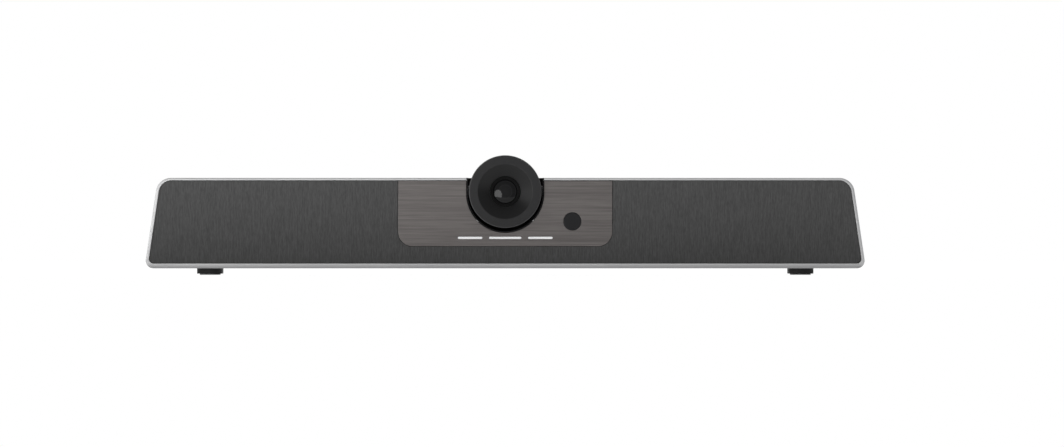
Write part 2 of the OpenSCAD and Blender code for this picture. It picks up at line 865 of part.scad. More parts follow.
module lens_barrel() {
  color("#101011") at_head() rotate_extrude() polygon([
    [stem_r, barrel_shoulder - stem_l], [stem_r, barrel_shoulder], [ring_r - fit, barrel_shoulder],
    [ring_r - fit, barrel_face - ring_bevel], [ring_r - fit - ring_bevel, barrel_face],
    [lens_r + ring_bevel, barrel_face], [lens_r + pin_fit, barrel_face - ring_bevel],
    [lens_r + pin_fit, lens_seat],
    [mid_lens_r + pin_fit, lens_seat], [mid_lens_r + pin_fit, barrel_shoulder],
    [rear_lens_r + pin_fit, barrel_shoulder], [rear_lens_r + pin_fit, barrel_shoulder - stem_l]
  ]);
}

// Radius of the sphere whose cap has this rim radius and height
function cap_radius(r, h) = (r * r + h * h) / 2 / h;

module front_lens() {
  R = cap_radius(lens_r, lens_dome);
  top = lens_seat + lens_edge + lens_dome;
  color("#20242b") at_head() intersection() {
    disc(lens_r, lens_seat, top + cut);
    translate([0, 0, top - R]) sphere(R);
  }
}

// A lens rounded on both faces, turned from two arcs
module lens_element(r, z0, z1, sag) {
  R = cap_radius(r, sag);
  rotate_extrude() intersection() {
    translate([0, z1 - R]) circle(R, $fn = lens_sides);
    translate([0, z0 + R]) circle(R, $fn = lens_sides);
    translate([0, z0 - cut]) square([r, z1 - z0 + 2 * cut]);
  }
}

module rear_lenses() {
  color("#2a303a") at_head() {
    lens_element(mid_lens_r, barrel_shoulder + fit, barrel_shoulder + fit + mid_lens_t, lens_sag);
    lens_element(rear_lens_r, barrel_shoulder - stem_l, barrel_shoulder - stem_l + rear_lens_t, lens_sag);
  }
}

module lens_mount() {
  foot = bulkhead_front - bulkhead_t;
  color("#1b1b1d") at_head() difference() {
    disc(mount_r, foot, barrel_shoulder);
    disc(stem_r + pin_fit, foot + mount_chamber, barrel_shoulder + cut);
    disc(mount_chamber_r, foot - cut, foot + mount_chamber + fit);
  }
}

module image_sensor() {
  color("#39465c") at_head() translate([0, 0, bulkhead_front - bulkhead_t + sensor_t / 2])
    cube([sensor_w, sensor_h, sensor_t], center = true);
}

module sensor_board() {
  top = bulkhead_front - bulkhead_t;
  color("#1f4d35") at_head() union() {
    disc(sensor_board_r, top - board_t, top);
    translate([0, plug_y, top - board_t - plug_t / 2 + fit / 2])
      cube([plug_w, plug_h, plug_t + fit], center = true);
  }
}

module head_heat_sink() {
  base = bulkhead_front - bulkhead_t - board_t;
  fins = floor(sink_r / sink_pitch);
  color("#9a9da1") at_head() intersection() {
    disc(sink_r, base - sink_h, base);
    union() {
      disc(sink_r + cut, base - sink_base, base + cut);
      for (i = [-fins:fins]) {
        translate([i * sink_pitch - sink_fin_t / 2, -sink_r - cut, base - sink_h - cut])
          cube([sink_fin_t, 2 * (sink_r + cut), sink_h]);
      }
    }
  }
}

module head_cap_screws() {
  seat = -tilt_setback - cap_post_h;
  color("#55575a") at_head() at_cap_screws() union() {
    disc(small_head_r, seat - small_head_t, seat);
    disc(small_r, seat - small_head_t / 2, -tilt_setback + cap_bite - fit);
  }
}

// Points of a band of even thickness along a path, out on one side and back on the other
function band_normal(p, i) =
  let (a = p[max(i - 1, 0)], b = p[min(i + 1, len(p) - 1)], d = b - a) [-d[1], d[0]] / norm(d);
function band_points(p, t) = concat(
  [for (i = [0:len(p) - 1]) p[i] + band_normal(p, i) * t / 2],
  [for (i = [len(p) - 1:-1:0]) p[i] - band_normal(p, i) * t / 2]
);

module camera_flex() {
  start = [tilt_y - bulkhead_front + bulkhead_t + board_t + plug_t, head_z + plug_y];
  leave = [tilt_y + shell_r * flex_leave_share, head_z + cap_slot_y];
  slot = [cradle_back_y - cradle_back_wall / 2, flex_z];
  down = cradle_back_y + flex_bend;
  route = [
    start, start + [flex_bend, 0], [leave[0] - flex_bend, leave[1]], leave,
    slot - [cradle_back_wall, 0], slot + [flex_bend / 2, 0], [down, flex_z - flex_bend],
    [down, board_top + plug_t + flex_bend], [down, board_top + plug_t]
  ];
  color("#8a5a24") translate([-flex_w / 2, 0, 0]) rotate([90, 0, 90])
    linear_extrude(height = flex_w) polygon(band_points(route, flex_t));
}

// One driver's own frame: Z towards the front from the back of the baffle
module at_driver(side) {
  translate([side * driver_x, baffle_back_y, driver_z]) rotate([90, 0, 0]) children();
}

module at_basket_ears() {
  for (a = [45:90:315]) rotate([0, 0, a]) translate([basket_r + basket_ear_r / 2, 0, 0]) children();
}

module at_driver_screws() {
  for (s = [-1, 1]) at_driver(s) at_basket_ears() children();
}

module basket(side) {
  flange_in = baffle_hole_r;
  foot_r = plate_r + cone_t / 3;
  color("#2c2d30") at_driver(side) difference() {
    union() {
      rotate_extrude() polygon([
        [flange_in, 0], [basket_r, 0], [basket_r, -basket_flange_t],
        [basket_r - frame_inset, -basket_flange_t],
        [foot_r, -basket_depth + frame_t], [foot_r, -basket_depth], [gap_r, -basket_depth],
        [gap_r, -basket_depth + frame_t], [spider_r - lip_w, -basket_depth + frame_t],
        [spider_r - lip_w, -spider_depth - spider_t], [spider_r + thread_fit, -spider_depth - spider_t],
        [baffle_hole_r - frame_t, -basket_flange_t - frame_t / 2],
        [roll_out_r - fit, -basket_flange_t], [roll_out_r - fit, -lip_depth], [flange_in, -lip_depth]
      ]);
      difference() {
        at_basket_ears() disc(basket_ear_r, -basket_flange_t, 0);
        disc(basket_r - lip_w, -basket_flange_t - cut, cut);
      }
    }
    for (a = [0:90:270]) rotate([0, 0, a]) {
      translate([coil_r, -window_w / 2, -spider_depth + fit]) cube([basket_r, window_w, window_h]);
    }
    at_basket_ears() disc(small_hole_r, -basket_flange_t - cut, cut);
  }
}

// The rubber half roll that carries the cone's rim, with a lip on each side
module surround(side) {
  mid = (roll_out_r + cone_r) / 2;
  rise = (roll_out_r - cone_r) / 2;
  color("#161617") at_driver(side) rotate_extrude() translate([0, -lip_depth + roll_t / 2]) union() {
    translate([roll_out_r - roll_t / 2, -roll_t / 2]) square([lip_w + roll_t, roll_t]);
    translate([cone_r - lip_w, -roll_t / 2]) square([lip_w + roll_t / 2, roll_t]);
    intersection() {
      translate([mid, 0]) difference() {
        circle(rise + roll_t / 2);
        circle(rise - roll_t / 2);
      }
      translate([cone_r - lip_w, 0]) square([2 * (rise + lip_w), 2 * rise]);
    }
  }
}

module cone(side) {
  rim = -lip_depth;
  dome_r = coil_r * 1.45;
  dome_z = -neck_depth - sqrt(dome_r * dome_r - coil_r * coil_r);
  color("#3c3c3f") at_driver(side) union() {
    rotate_extrude() polygon([
      [cone_r, rim], [cone_r - lip_w, rim], [coil_r - coil_wall, -neck_depth],
      [coil_r - coil_wall, -coil_depth], [coil_r, -coil_depth], [coil_r, -neck_depth - cone_t],
      [cone_r - lip_w, rim - cone_t], [cone_r, rim - cone_t]
    ]);
    intersection() {
      translate([0, 0, dome_z]) difference() {
        sphere(dome_r);
        sphere(dome_r - cone_t);
      }
      disc(coil_r - coil_wall / 2, -neck_depth - cone_t, 0);
    }
  }
}

// The corrugated ring that centres the voice coil
module spider(side) {
  inner = coil_r + thread_fit;
  steps = 2 * spider_waves + 1;
  step = (spider_r - lip_w - inner) / steps;
  path = [for (i = [0:steps]) [inner + step * i, (i % 2) * (i < steps ? spider_wave : 0)], [spider_r, 0]];
  color("#b08d4f") at_driver(side) translate([0, 0, -spider_depth]) rotate_extrude() polygon(concat(
    path, [for (i = [len(path) - 1:-1:0]) path[i] - [0, spider_t]]
  ));
}

module magnet(side) {
  top = -basket_depth;
  color("#6d7075") at_driver(side) rotate_extrude() polygon([
    [0, top - plate_h - magnet_h - backplate_h], [plate_r, top - plate_h - magnet_h - backplate_h],
    [plate_r, top - plate_h - magnet_h], [magnet_r, top - plate_h - magnet_h], [magnet_r, top - plate_h],
    [plate_r, top - plate_h], [plate_r, top], [gap_r, top], [gap_r, top - plate_h],
    [gap_r + lip_w, top - plate_h], [gap_r + lip_w, top - plate_h - magnet_h],
    [pole_r, top - plate_h - magnet_h], [pole_r, top + frame_t / 2], [0, top + frame_t / 2]
  ]);
}

module acoustic_box() {
  inset = box_clear + box_wall;
  color("#35373a") difference() {
    union() {
      difference() {
        slab(baffle_back_y, box_back_y) intersection() {
          union() bar_outline(side_wall + box_clear, top_wall + box_clear, bottom_wall,
                              max(top_in_r - box_clear, least_r), max(bottom_in_r - box_clear, least_r));
          translate([box_start, bar_z0]) square([bar_bottom_w, bar_h]);
        }
        slab(baffle_back_y - cut, box_back_y - box_wall) intersection() {
          union() bar_outline(side_wall + inset, top_wall + inset, bottom_wall + box_wall,
                              max(top_in_r - inset, least_r), max(bottom_in_r - inset, least_r));
          translate([box_start + box_wall, bar_z0]) square([bar_bottom_w, bar_h]);
        }
      }
      for (x = cover_screw_x, z = cover_screw_z) {
        rod_y(x, z, m3_boss_r, box_back_y - box_wall - cover_screw_grip, cover_face_y - cover_post);
      }
      for (y = [-foot_screw_y, foot_screw_y])
        rod_z(foot_spacing / 2, y, m3_boss_r, in_z0, in_z0 + foot_boss_h);
    }
    for (x = cover_screw_x, z = cover_screw_z) {
      rod_y(x, z, m3_r + thread_fit, cover_face_y - cover_post - cover_screw_grip, cover_face_y);
    }
    for (y = [-foot_screw_y, foot_screw_y]) {
      rod_z(foot_spacing / 2, y, m3_r + thread_fit, in_z0 - cut, in_z0 + foot_boss_h - box_wall);
    }
  }
}

module left_acoustic_box() {
  mirror([1, 0, 0]) acoustic_box();
}

module right_acoustic_box() {
  acoustic_box();
}

module speaker_screws() {
  color("#55575a") at_driver_screws() union() {
    disc(small_head_r, -basket_flange_t - small_head_t, -basket_flange_t);
    disc(small_r, -basket_flange_t - small_head_t / 2, small_bite);
  }
}

module microphone_board() {
  color("#1f4d35") difference() {
    union() {
      block([-mic_board_w / 2, baffle_back_y, mic_z - mic_board_h / 2],
            [mic_board_w / 2, baffle_back_y + board_t, mic_z + mic_board_h / 2]);
      for (i = [0:mic_count - 1]) {
        translate([mic_x(i) - mic_can_w / 2, baffle_back_y + board_t / 2, mic_z - mic_can_h / 2])
          cube([mic_can_w, board_t / 2 + mic_can_t, mic_can_h]);
      }
    }
    for (i = [0:mic_count - 1])
      rod_y(mic_x(i), mic_z, mic_port_r / 2, baffle_back_y - cut, baffle_back_y + board_t);
  }
}

module main_board() {
  color("#1d5238") difference() {
    union() {
      block([-board_w / 2, board_front_y, board_z], [board_w / 2, board_back_y, board_top]);
      for (i = [0:len(chip_sizes) - 1]) {
        size = chip_sizes[i];
        place = [chip_shares[i][0] * board_w, chip_shares[i][1] * bar_depth];
        translate([place[0], place[1], board_top + size[2] / 2 - fit / 2])
          cube(size + [0, 0, fit], center = true);
      }
      translate([-plug_w / 2, cradle_back_y + flex_bend - plug_h / 2, board_top - fit])
        cube([plug_w, plug_h, plug_t + fit]);
    }
    for (p = board_holes) rod_z(p[0], p[1], small_hole_r, board_z - cut, board_top + cut);
  }
}

module processor() {
  color("#26282b") translate([cpu_x, cpu_y, board_top + cpu_t / 2])
    cube([cpu_w, cpu_w, cpu_t], center = true);
}

module processor_heat_sink() {
  z0 = board_top + cpu_t;
  fins = floor((cpu_sink_w / 2 - sink_fin_t) / sink_pitch);
  color("#a5a8ac") union() {
    translate([cpu_x - cpu_sink_w / 2, cpu_y - cpu_sink_w / 2, z0])
      cube([cpu_sink_w, cpu_sink_w, sink_base]);
    for (i = [-fins:fins]) {
      translate([cpu_x + i * sink_pitch - sink_fin_t / 2, cpu_y - cpu_sink_w / 2, z0])
        cube([sink_fin_t, cpu_sink_w, cpu_sink_h]);
    }
  }
}

module dc_inlet() {
  z = board_top + dc_h - dc_w / 2 - fit;
  color("#18181a") union() {
    difference() {
      block([dc_x - dc_w / 2, port_y - socket_l - cover_t, board_top],
            [dc_x + dc_w / 2, port_y, board_top + dc_h]);
      rod_y(dc_x, z, dc_bore_r, port_y - socket_l, port_y + cut);
    }
    rod_y(dc_x, z, dc_pin_r, port_y - socket_l - cover_t / 2, port_y - cover_t / 2);
  }
}

module hdmi_port() {
  z = board_top + hdmi_h / 2;
  color("#b9bbbe") union() {
    difference() {
      block([hdmi_x - hdmi_w / 2, port_y - socket_l, board_top],
            [hdmi_x + hdmi_w / 2, port_y, board_top + hdmi_h]);
      block([hdmi_x - hdmi_w / 2 + socket_wall, port_y - socket_l + 2 * socket_wall, board_top + socket_wall],
            [hdmi_x + hdmi_w / 2 - socket_wall, port_y + cut, board_top + hdmi_h - socket_wall]);
    }
    block([hdmi_x - hdmi_tongue_w / 2, port_y - socket_l + socket_wall, z - hdmi_tongue_t / 2],
          [hdmi_x + hdmi_tongue_w / 2, port_y - cover_t, z + hdmi_tongue_t / 2]);
  }
}

module usb_c_port() {
  z = board_top + usb_h / 2;
  color("#b9bbbe") union() {
    difference() {
      slab(port_y - socket_l, port_y) translate([usb_x, z]) rounded_bar(usb_w, usb_h);
      slab(port_y - socket_l + 2 * socket_wall, port_y + cut) translate([usb_x, z])
        rounded_bar(usb_w - 2 * usb_wall, usb_h - 2 * usb_wall);
    }
    block([usb_x - usb_tongue_w / 2, port_y - socket_l + socket_wall, z - usb_tongue_t / 2],
          [usb_x + usb_tongue_w / 2, port_y - cover_t / 2, z + usb_tongue_t / 2]);
  }
}

module audio_jack() {
  color("#18181a") difference() {
    block([jack_x - jack_w / 2, port_y - jack_l, board_top],
          [jack_x + jack_w / 2, port_y, board_top + jack_h]);
    rod_y(jack_x, board_top + jack_h / 2, jack_bore_r, port_y - socket_l, port_y + cut);
  }
}

module power_button() {
  inner = port_y - cover_t;
  color("#48494c") union() {
    rod_y(button_x, button_z, button_r, inner - fit, port_y + button_proud);
    rod_y(button_x, button_z, button_r + button_flange, inner - fit / 2 - button_flange, inner - fit / 2);
    rod_y(button_x, button_z, button_stem_r, switch_tip_y + button_travel + fit / 2, inner - fit);
  }
}

module power_switch() {
  color("#2d2e31") union() {
    block([button_x - switch_w / 2, switch_tip_y - switch_tip - switch_l, board_top],
          [button_x + switch_w / 2, switch_tip_y - switch_tip, button_z + switch_w / 2]);
    rod_y(button_x, button_z, button_stem_r, switch_tip_y - switch_tip - fit, switch_tip_y);
  }
}

module chassis_tray() {
  color("#9fa2a6") difference() {
    union() {
      block([-tray_w / 2, tray_front_y, in_z0], [tray_w / 2, tray_back_y, in_z0 + tray_t]);
      for (p = board_holes) rod_z(p[0], p[1], standoff_r, in_z0 + tray_t / 2, board_z);
    }
    for (p = board_holes) rod_z(p[0], p[1], small_r + thread_fit, in_z0 + tray_t, board_z + cut);
    for (p = tray_screw_spots) rod_z(p[0], p[1], m3_r + thread_fit, in_z0 - cut, in_z0 + tray_t + cut);
    rod_z(0, 0, bush_r + pin_fit, in_z0 - cut, in_z0 + tray_t + cut);
    for (s = [-1, 1])
      rod_z(s * bracket_spacing / 2, 0, insert_r + pin_fit, in_z0 - cut, in_z0 + tray_t + cut);
  }
}

module foot(side) {
  color("#303133") translate([side * foot_spacing / 2, 0, 0]) difference() {
    layer(foot_z, bar_z0) rounded_bar(foot_w, foot_l);
    layer(foot_z - cut, foot_z + pad_sunk) rounded_bar(pad_w + fit, pad_l + fit);
    for (y = [-foot_screw_y, foot_screw_y]) {
      rod_z(0, y, m3_hole_r, foot_z, bar_z0 + cut);
      rod_z(0, y, m3_head_r + fit, foot_z, foot_z + pad_sunk + m3_head_t + fit);
    }
  }
}

module foot_pad(side) {
  color("#3f4042") translate([side * foot_spacing / 2, 0, 0])
    layer(0, foot_z + pad_sunk) rounded_bar(pad_w, pad_l);
}

module tripod_bush() {
  top = in_z0 + tray_t;
  color("#c2a15a") difference() {
    union() {
      rod_z(0, 0, bush_r, bar_z0, top + bush_flange_t);
      rod_z(0, 0, bush_flange_r, top, top + bush_flange_t);
    }
    rod_z(0, 0, tripod_thread_r, bar_z0 - cut, top + bush_flange_t + cut);
  }
}

module bracket_inserts() {
  top = in_z0 + tray_t;
  color("#c2a15a") for (s = [-1, 1]) translate([s * bracket_spacing / 2, 0, 0]) difference() {
    union() {
      rod_z(0, 0, insert_r, bar_z0, top + insert_flange_t);
      rod_z(0, 0, insert_flange_r, top, top + insert_flange_t);
    }
    rod_z(0, 0, bracket_thread_r, bar_z0 - cut, top + insert_flange_t + cut);
  }
}

module rear_cover_screws() {
  seat = back_y - m3_head_t;
  color("#55575a") at_cover_screws() union() {
    rod_y(0, 0, m3_head_r, seat, back_y - fit);
    rod_y(0, 0, m3_r, cover_face_y - cover_post - cover_screw_grip + fit, seat + fit);
  }
}

module foot_screws() {
  seat = foot_z + pad_sunk + m3_head_t + fit;
  color("#55575a") at_foot_screws() union() {
    rod_z(0, 0, m3_head_r, seat - m3_head_t, seat);
    rod_z(0, 0, m3_r, seat - fit, in_z0 + foot_boss_h - box_wall - fit);
  }
}

module tray_screws() {
  seat = bar_z0 + m3_head_t + fit;
  color("#55575a") for (p = tray_screw_spots) translate([p[0], p[1], 0]) union() {
    rod_z(0, 0, m3_head_r, seat - m3_head_t, seat);
    rod_z(0, 0, m3_r, seat - fit, in_z0 + tray_t);
  }
}

module cradle_screws() {
  seat = baffle_back_y + lug_t;
  color("#55575a") at_cradle_screws() union() {
    rod_y(0, 0, small_head_r, seat, seat + small_head_t);
    rod_y(0, 0, small_r, baffle_back_y - small_bite, seat + fit);
  }
}

module board_screws() {
  color("#55575a") for (p = board_holes) translate([p[0], p[1], 0]) union() {
    rod_z(0, 0, small_head_r, board_top, board_top + small_head_t);
    rod_z(0, 0, small_r, in_z0 + tray_t + fit, board_top + fit);
  }
}

housing_shell();
rear_cover();
front_baffle();
grille_plate();
grille_cloth();
centre_panel();
status_light_guide();
status_led_board();
ir_window();
ir_receiver_board();
camera_cradle();
tilt_pins();
tilt_washers();
head_barrel();
head_rear_cap();
head_bezel();
lens_barrel();
front_lens();
rear_lenses();
lens_mount();
image_sensor();
sensor_board();
head_heat_sink();
head_cap_screws();
camera_flex();
basket(-1);  // left_basket
basket(1);  // right_basket
surround(-1);  // left_surround
surround(1);  // right_surround
cone(-1);  // left_cone
cone(1);  // right_cone
spider(-1);  // left_spider
spider(1);  // right_spider
magnet(-1);  // left_magnet
magnet(1);  // right_magnet
left_acoustic_box();
right_acoustic_box();
speaker_screws();
microphone_board();
main_board();
processor();
processor_heat_sink();
dc_inlet();
usb_c_port();
hdmi_port();
audio_jack();
power_button();
power_switch();
chassis_tray();
foot(-1);  // left_foot
foot(1);  // right_foot
foot_pad(-1);  // left_foot_pad
foot_pad(1);  // right_foot_pad
tripod_bush();
bracket_inserts();
rear_cover_screws();
foot_screws();
tray_screws();
cradle_screws();
board_screws();
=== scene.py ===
"""A conference camera: a low silver bar with a cloth front, a brushed centre panel and a tilting camera head.

Lengths are millimetres, and points become metres when a mesh is made. The floor, the lamps and the camera
are set out in metres. X runs along the bar, -Y is the front, Z is up and the table is at zero.
"""
import math

import bmesh
import bpy
import numpy as np
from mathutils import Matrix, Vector
from mathutils.geometry import tessellate_polygon


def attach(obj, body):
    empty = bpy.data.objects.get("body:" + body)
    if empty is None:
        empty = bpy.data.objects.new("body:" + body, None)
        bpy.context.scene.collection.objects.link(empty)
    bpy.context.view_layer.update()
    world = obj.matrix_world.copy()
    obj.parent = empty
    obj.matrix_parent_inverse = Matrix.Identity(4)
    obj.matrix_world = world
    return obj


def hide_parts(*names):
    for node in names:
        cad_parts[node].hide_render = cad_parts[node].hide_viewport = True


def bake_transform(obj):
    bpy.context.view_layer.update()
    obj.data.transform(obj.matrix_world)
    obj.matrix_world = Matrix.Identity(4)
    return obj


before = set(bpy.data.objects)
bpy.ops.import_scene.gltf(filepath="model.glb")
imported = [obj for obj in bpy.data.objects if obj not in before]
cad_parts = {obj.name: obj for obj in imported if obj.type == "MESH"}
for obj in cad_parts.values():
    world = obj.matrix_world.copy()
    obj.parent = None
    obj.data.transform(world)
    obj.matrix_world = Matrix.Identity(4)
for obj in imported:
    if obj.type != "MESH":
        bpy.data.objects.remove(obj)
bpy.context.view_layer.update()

MM = 0.001

# The bar
BAR_BOTTOM_W, BAR_TOP_W = 662.4, 637.9
BAR_Z0, BAR_Z1 = 5.9, 89.0
FRONT_Y, BACK_Y = -43.0, 43.0
TOP_WALL, SIDE_WALL, BOTTOM_WALL = 2.2, 2.7, 4.5
TOP_CORNER, BOTTOM_CORNER = 14.0, 7.0
LEAN = math.atan((BAR_BOTTOM_W - BAR_TOP_W) / 2 / (BAR_Z1 - BAR_Z0))
CLEAR = 0.2
IN_Z1 = BAR_Z1 - TOP_WALL
# The sleeve's edges are rounded: most at the front, where they catch the light
FRONT_EDGE, BACK_EDGE, INNER_EDGE = 1.2, 0.45, 0.3
# The sleeve's colour is darker up to this height above its lower face: painted shade along its lower edge
LOW_SHADE_H = 4.6

# The cradle's place, and the opening that the sleeve leaves for it
CRADLE_Z, CRADLE_R, CRADLE_BACK_Y = 74.3, 35.5, 6.12
OPENING_X, OPENING_Y = CRADLE_R + CLEAR, CRADLE_BACK_Y + CLEAR

# The front pieces, and how far their edges are rolled
CLOTH_Y, CLOTH_T, CLOTH_ROLL = -42.2, 1.0, 0.45
PANEL_Y, PANEL_T, PANEL_ROLL, PANEL_GAP = -42.7, 1.8, 0.35, 0.55
PANEL_HALF, PANEL_Z0, PANEL_CORNER = 98.3, 26.2, 13.3
LIGHT_Z, LIGHT_H, HOLE_GAP = 33.9, 1.9, 0.1
LIGHTS = ((-32.25, 22.4), (0.0, 29.5), (32.25, 22.4))
WINDOW_X, WINDOW_Z, WINDOW_R, WINDOW_ROLL = 61.7, 49.1, 8.25, 0.4

# The camera head; h is the distance in front of its tilt axis
TILT_Y, HEAD_Z, HEAD_R, FACE_H = -34.0, 76.4, 33.3, 15.0
DISH_R, DISH_DEPTH, RING_R = 25.35, 8.0, 14.25
BEZEL_T, BEZEL_CHAMFER, DISH_WALL, DISH_FOOT, DISH_BACK = 2.0, 0.8, 1.4, 1.0, 0.2
# Where the bezel's colour turns from the dish's painted shade, near black, to grey, and from grey to the
# chamfer's painted highlight
GREY_FROM, GREY_FULL = DISH_R - 0.6, DISH_R + 0.1
HIGHLIGHT_FROM, HIGHLIGHT_FULL = HEAD_R - BEZEL_CHAMFER, HEAD_R - 0.5
# The lens barrel, from the end of its stem to its front face
STEM_H, SHOULDER_H, SEAT_H, BARREL_H = -6.0, -1.0, 3.0, FACE_H - DISH_DEPTH - CLEAR
STEM_R, STEM_BORE, BARREL_R, BARREL_BORE = 9.0, 6.45, RING_R - CLEAR, 7.45
STEP_R, STEP_IN_R, STEP_DEPTH, STEP_BEVEL = 12.6, 12.3, 0.5, 0.4
# The front glass: its edge, its dome and the hollow behind it
LENS_R, LENS_EDGE, LENS_DOME = 11.0, 2.2, 2.4
HOLLOW_RIM, HOLLOW_R, LENS_FIT = 0.6, 40.0, 0.05

# Screws and threads: where they are, and their bores through the sleeve's lower wall
BORE_Z0, SEAT_Z, BORE_Z1 = 4.0, 7.7, 11.5
HEAD_BORE, SHANK_BORE, BUSH_BORE, INSERT_BORE = 3.0, 1.65, 5.2, 3.4
TRAY_SCREWS = [(x, y) for x in (-72, 72) for y in (-19, 19)]
FOOT_SCREWS = [(x, y) for x in (-271.8, 271.8) for y in (-20, 20)]
INSERT_X = 50
COVER_SCREW_X, COVER_SCREW_Z = (298.95, 158.0), (21.4, 74.8)
CAP_SCREW_R, CAP_SCREW_Y, CAP_SCREW_ANGLES = 24.5, -13.1, (90, 210, 330)

# The sensor's flat cable in the y, z plane, and where it leaves the head and enters the cradle
CABLE_W, CABLE_T, CABLE_BEND = 10.0, 0.4, 1.6
CABLE_LEAVES, CABLE_ENTERS = (-3.3, 58.4), (3.1, 52.3)
CABLE_ROUTE = [(-21.3, 59.2), (-18.3, 59.2), (-6.3, 58.4), CABLE_LEAVES, CABLE_ENTERS, (6.6, 52.3),
               (9.1, 49.3), (9.1, 20.1)]

# A noise texture's values seldom leave this range
NOISE_LOW, NOISE_HIGH = 0.3, 0.7

# Edges of more degrees than this stay crisp, and points nearer to each other than this, in metres, become one
SHARP, SAME_POINT = 40.0, 2e-6


# Materials


def linear(code):
    """An sRGB hex colour as linear red, green, blue and full alpha."""
    c = np.array([int(code[i:i + 2], 16) for i in (1, 3, 5)]) / 255
    return (*np.where(c <= 0.04045, c / 12.92, ((c + 0.055) / 1.055) ** 2.4).tolist(), 1.0)


def add(tree, kind, inputs=None, **settings):
    """Adds a node with its settings; each input is a value, or an output that is linked to it."""
    node = tree.nodes.new(kind)
    for key, value in settings.items():
        setattr(node, key, value)
    for key, value in (inputs or {}).items():
        if isinstance(value, bpy.types.NodeSocket):
            tree.links.new(value, node.inputs[key])
        else:
            node.inputs[key].default_value = value
    return node


def finish(name, colour, roughness, **sockets):
    """A new material with one shader; returns it, its tree, the shader and the object's own coordinates."""
    made = bpy.data.materials.new(name)
    made.use_nodes = True
    tree = made.node_tree
    tree.nodes.clear()
    inputs = {"Base Color": linear(colour), "Roughness": roughness}
    inputs.update({key.replace("_", " "): value for key, value in sockets.items()})
    shader = add(tree, "ShaderNodeBsdfPrincipled", inputs)
    add(tree, "ShaderNodeOutputMaterial", {"Surface": shader.outputs[0]})
    return made, tree, shader, add(tree, "ShaderNodeTexCoord").outputs["Object"]


def grain(tree, place, size, detail=2.0, stretch=(1, 1, 1), rough=0.5):
    """Noise whose blotches are about size millimetres wide, drawn out by stretch along each axis."""
    scale = tuple(1 / (size * MM * s) for s in stretch)
    scaled = add(tree, "ShaderNodeMapping", {"Vector": place, "Scale": scale})
    inputs = {"Vector": scaled.outputs[0], "Scale": 1.0, "Detail": detail, "Roughness": rough}
    return add(tree, "ShaderNodeTexNoise", inputs).outputs["Fac"]


def tint(tree, shader, value, dark, light, start=NOISE_LOW, end=NOISE_HIGH):
    """Colours the shader from dark to light as a pattern goes from start to end, and returns that colour.
    Inputs 6 and 7 of a Mix node are its two colours."""
    share = add(tree, "ShaderNodeMapRange", {"Value": value, "From Min": start, "From Max": end}).outputs[0]
    mixed = add(tree, "ShaderNodeMix", {0: share, 6: linear(dark), 7: linear(light)}, data_type="RGBA")
    tree.links.new(mixed.outputs[2], shader.inputs["Base Color"])
    return mixed.outputs[2]


def roughen(tree, shader, noise, low, high):
    """Lets the shader's roughness go from low to high along a noise."""
    inputs = {"Value": noise, "From Min": NOISE_LOW, "From Max": NOISE_HIGH, "To Min": low, "To Max": high}
    tree.links.new(add(tree, "ShaderNodeMapRange", inputs).outputs[0], shader.inputs["Roughness"])


def relief(tree, shader, height, depth, edge=0.0, strength=1.0):
    """Raises the surface along a pattern by depth millimetres, over edges softened to a radius."""
    inputs = {"Height": height, "Distance": depth * MM, "Strength": strength}
    if edge:
        inputs["Normal"] = add(tree, "ShaderNodeBevel", {"Radius": edge * MM}, samples=4).outputs[0]
    tree.links.new(add(tree, "ShaderNodeBump", inputs).outputs[0], shader.inputs["Normal"])


def satin_metal(name, dark, light, roughness, size=0.35, depth=0.012, edge=0.25, low_shade=None):
    """Blasted, plated or galvanised metal: a satin sheen whose grain only shows close up, in two close
    shades that drift over 60 mm. A darker colour, where one is given, lies over the lowest few
    millimetres and fades out upwards: painted shade along the lower edge."""
    drift, swing = 60, 0.05
    made, tree, shader, place = finish(name, light, roughness, Metallic=1.0)
    fine = grain(tree, place, size, 3)
    colour = tint(tree, shader, grain(tree, place, drift, 2), dark, light)
    # painted shade: the lowest few millimetres are darker
    if low_shade:
        height = add(tree, "ShaderNodeSeparateXYZ", {0: place}).outputs[2]
        limits = {"From Min": BAR_Z0 * MM, "From Max": (BAR_Z0 + LOW_SHADE_H) * MM}
        share = add(tree, "ShaderNodeMapRange", {"Value": height, **limits}).outputs[0]
        low_shaded = add(tree, "ShaderNodeMix", {0: share, 6: linear(low_shade), 7: colour}, data_type="RGBA")
        tree.links.new(low_shaded.outputs[2], shader.inputs["Base Color"])
    roughen(tree, shader, fine, roughness - swing, roughness + swing)
    relief(tree, shader, fine, depth, edge)
    return made


def moulded(name, dark, light, roughness, size=0.45, depth=0.02, edge=0.3, **sockets):
    """A moulded or sprayed skin: an even, pebbled grain that scatters the light, in two close shades that
    drift over 18 mm."""
    drift, swing = 18, 0.06
    made, tree, shader, place = finish(name, light, roughness, **sockets)
    fine = grain(tree, place, size, 3)
    tint(tree, shader, grain(tree, place, drift, 3), dark, light)
    roughen(tree, shader, fine, roughness - swing, roughness + swing)
    relief(tree, shader, fine, depth, edge)
    return made


def lined_metal(name, dark, light, roughness, width=0.25, axis="Z", edge=0.15):
    """Turned or drawn metal: dark and bright lines, each about width millimetres wide, that follow one
    another along an axis, as a tool or a die leaves them. A wave texture goes through 20 radians in a unit,
    so such lines take a scale of about 1 over the width times a full turn."""
    made, tree, shader, place = finish(name, light, roughness, Metallic=1.0)
    inputs = {"Vector": place, "Scale": 1 / (width * MM) / math.tau, "Distortion": 0.6, "Detail": 1.0}
    lines = add(tree, "ShaderNodeTexWave", inputs, bands_direction=axis).outputs["Fac"]
    tint(tree, shader, lines, dark, light, 0.0, 1.0)
    relief(tree, shader, lines, 0.01, edge)
    return made


def noisy(name, colour, roughness, size, depth, **sockets):
    """One colour with a single noise raised on it, for films, rubber, paper and the like."""
    made, tree, shader, place = finish(name, colour, roughness, **sockets)
    relief(tree, shader, grain(tree, place, size, 3), depth)
    return made


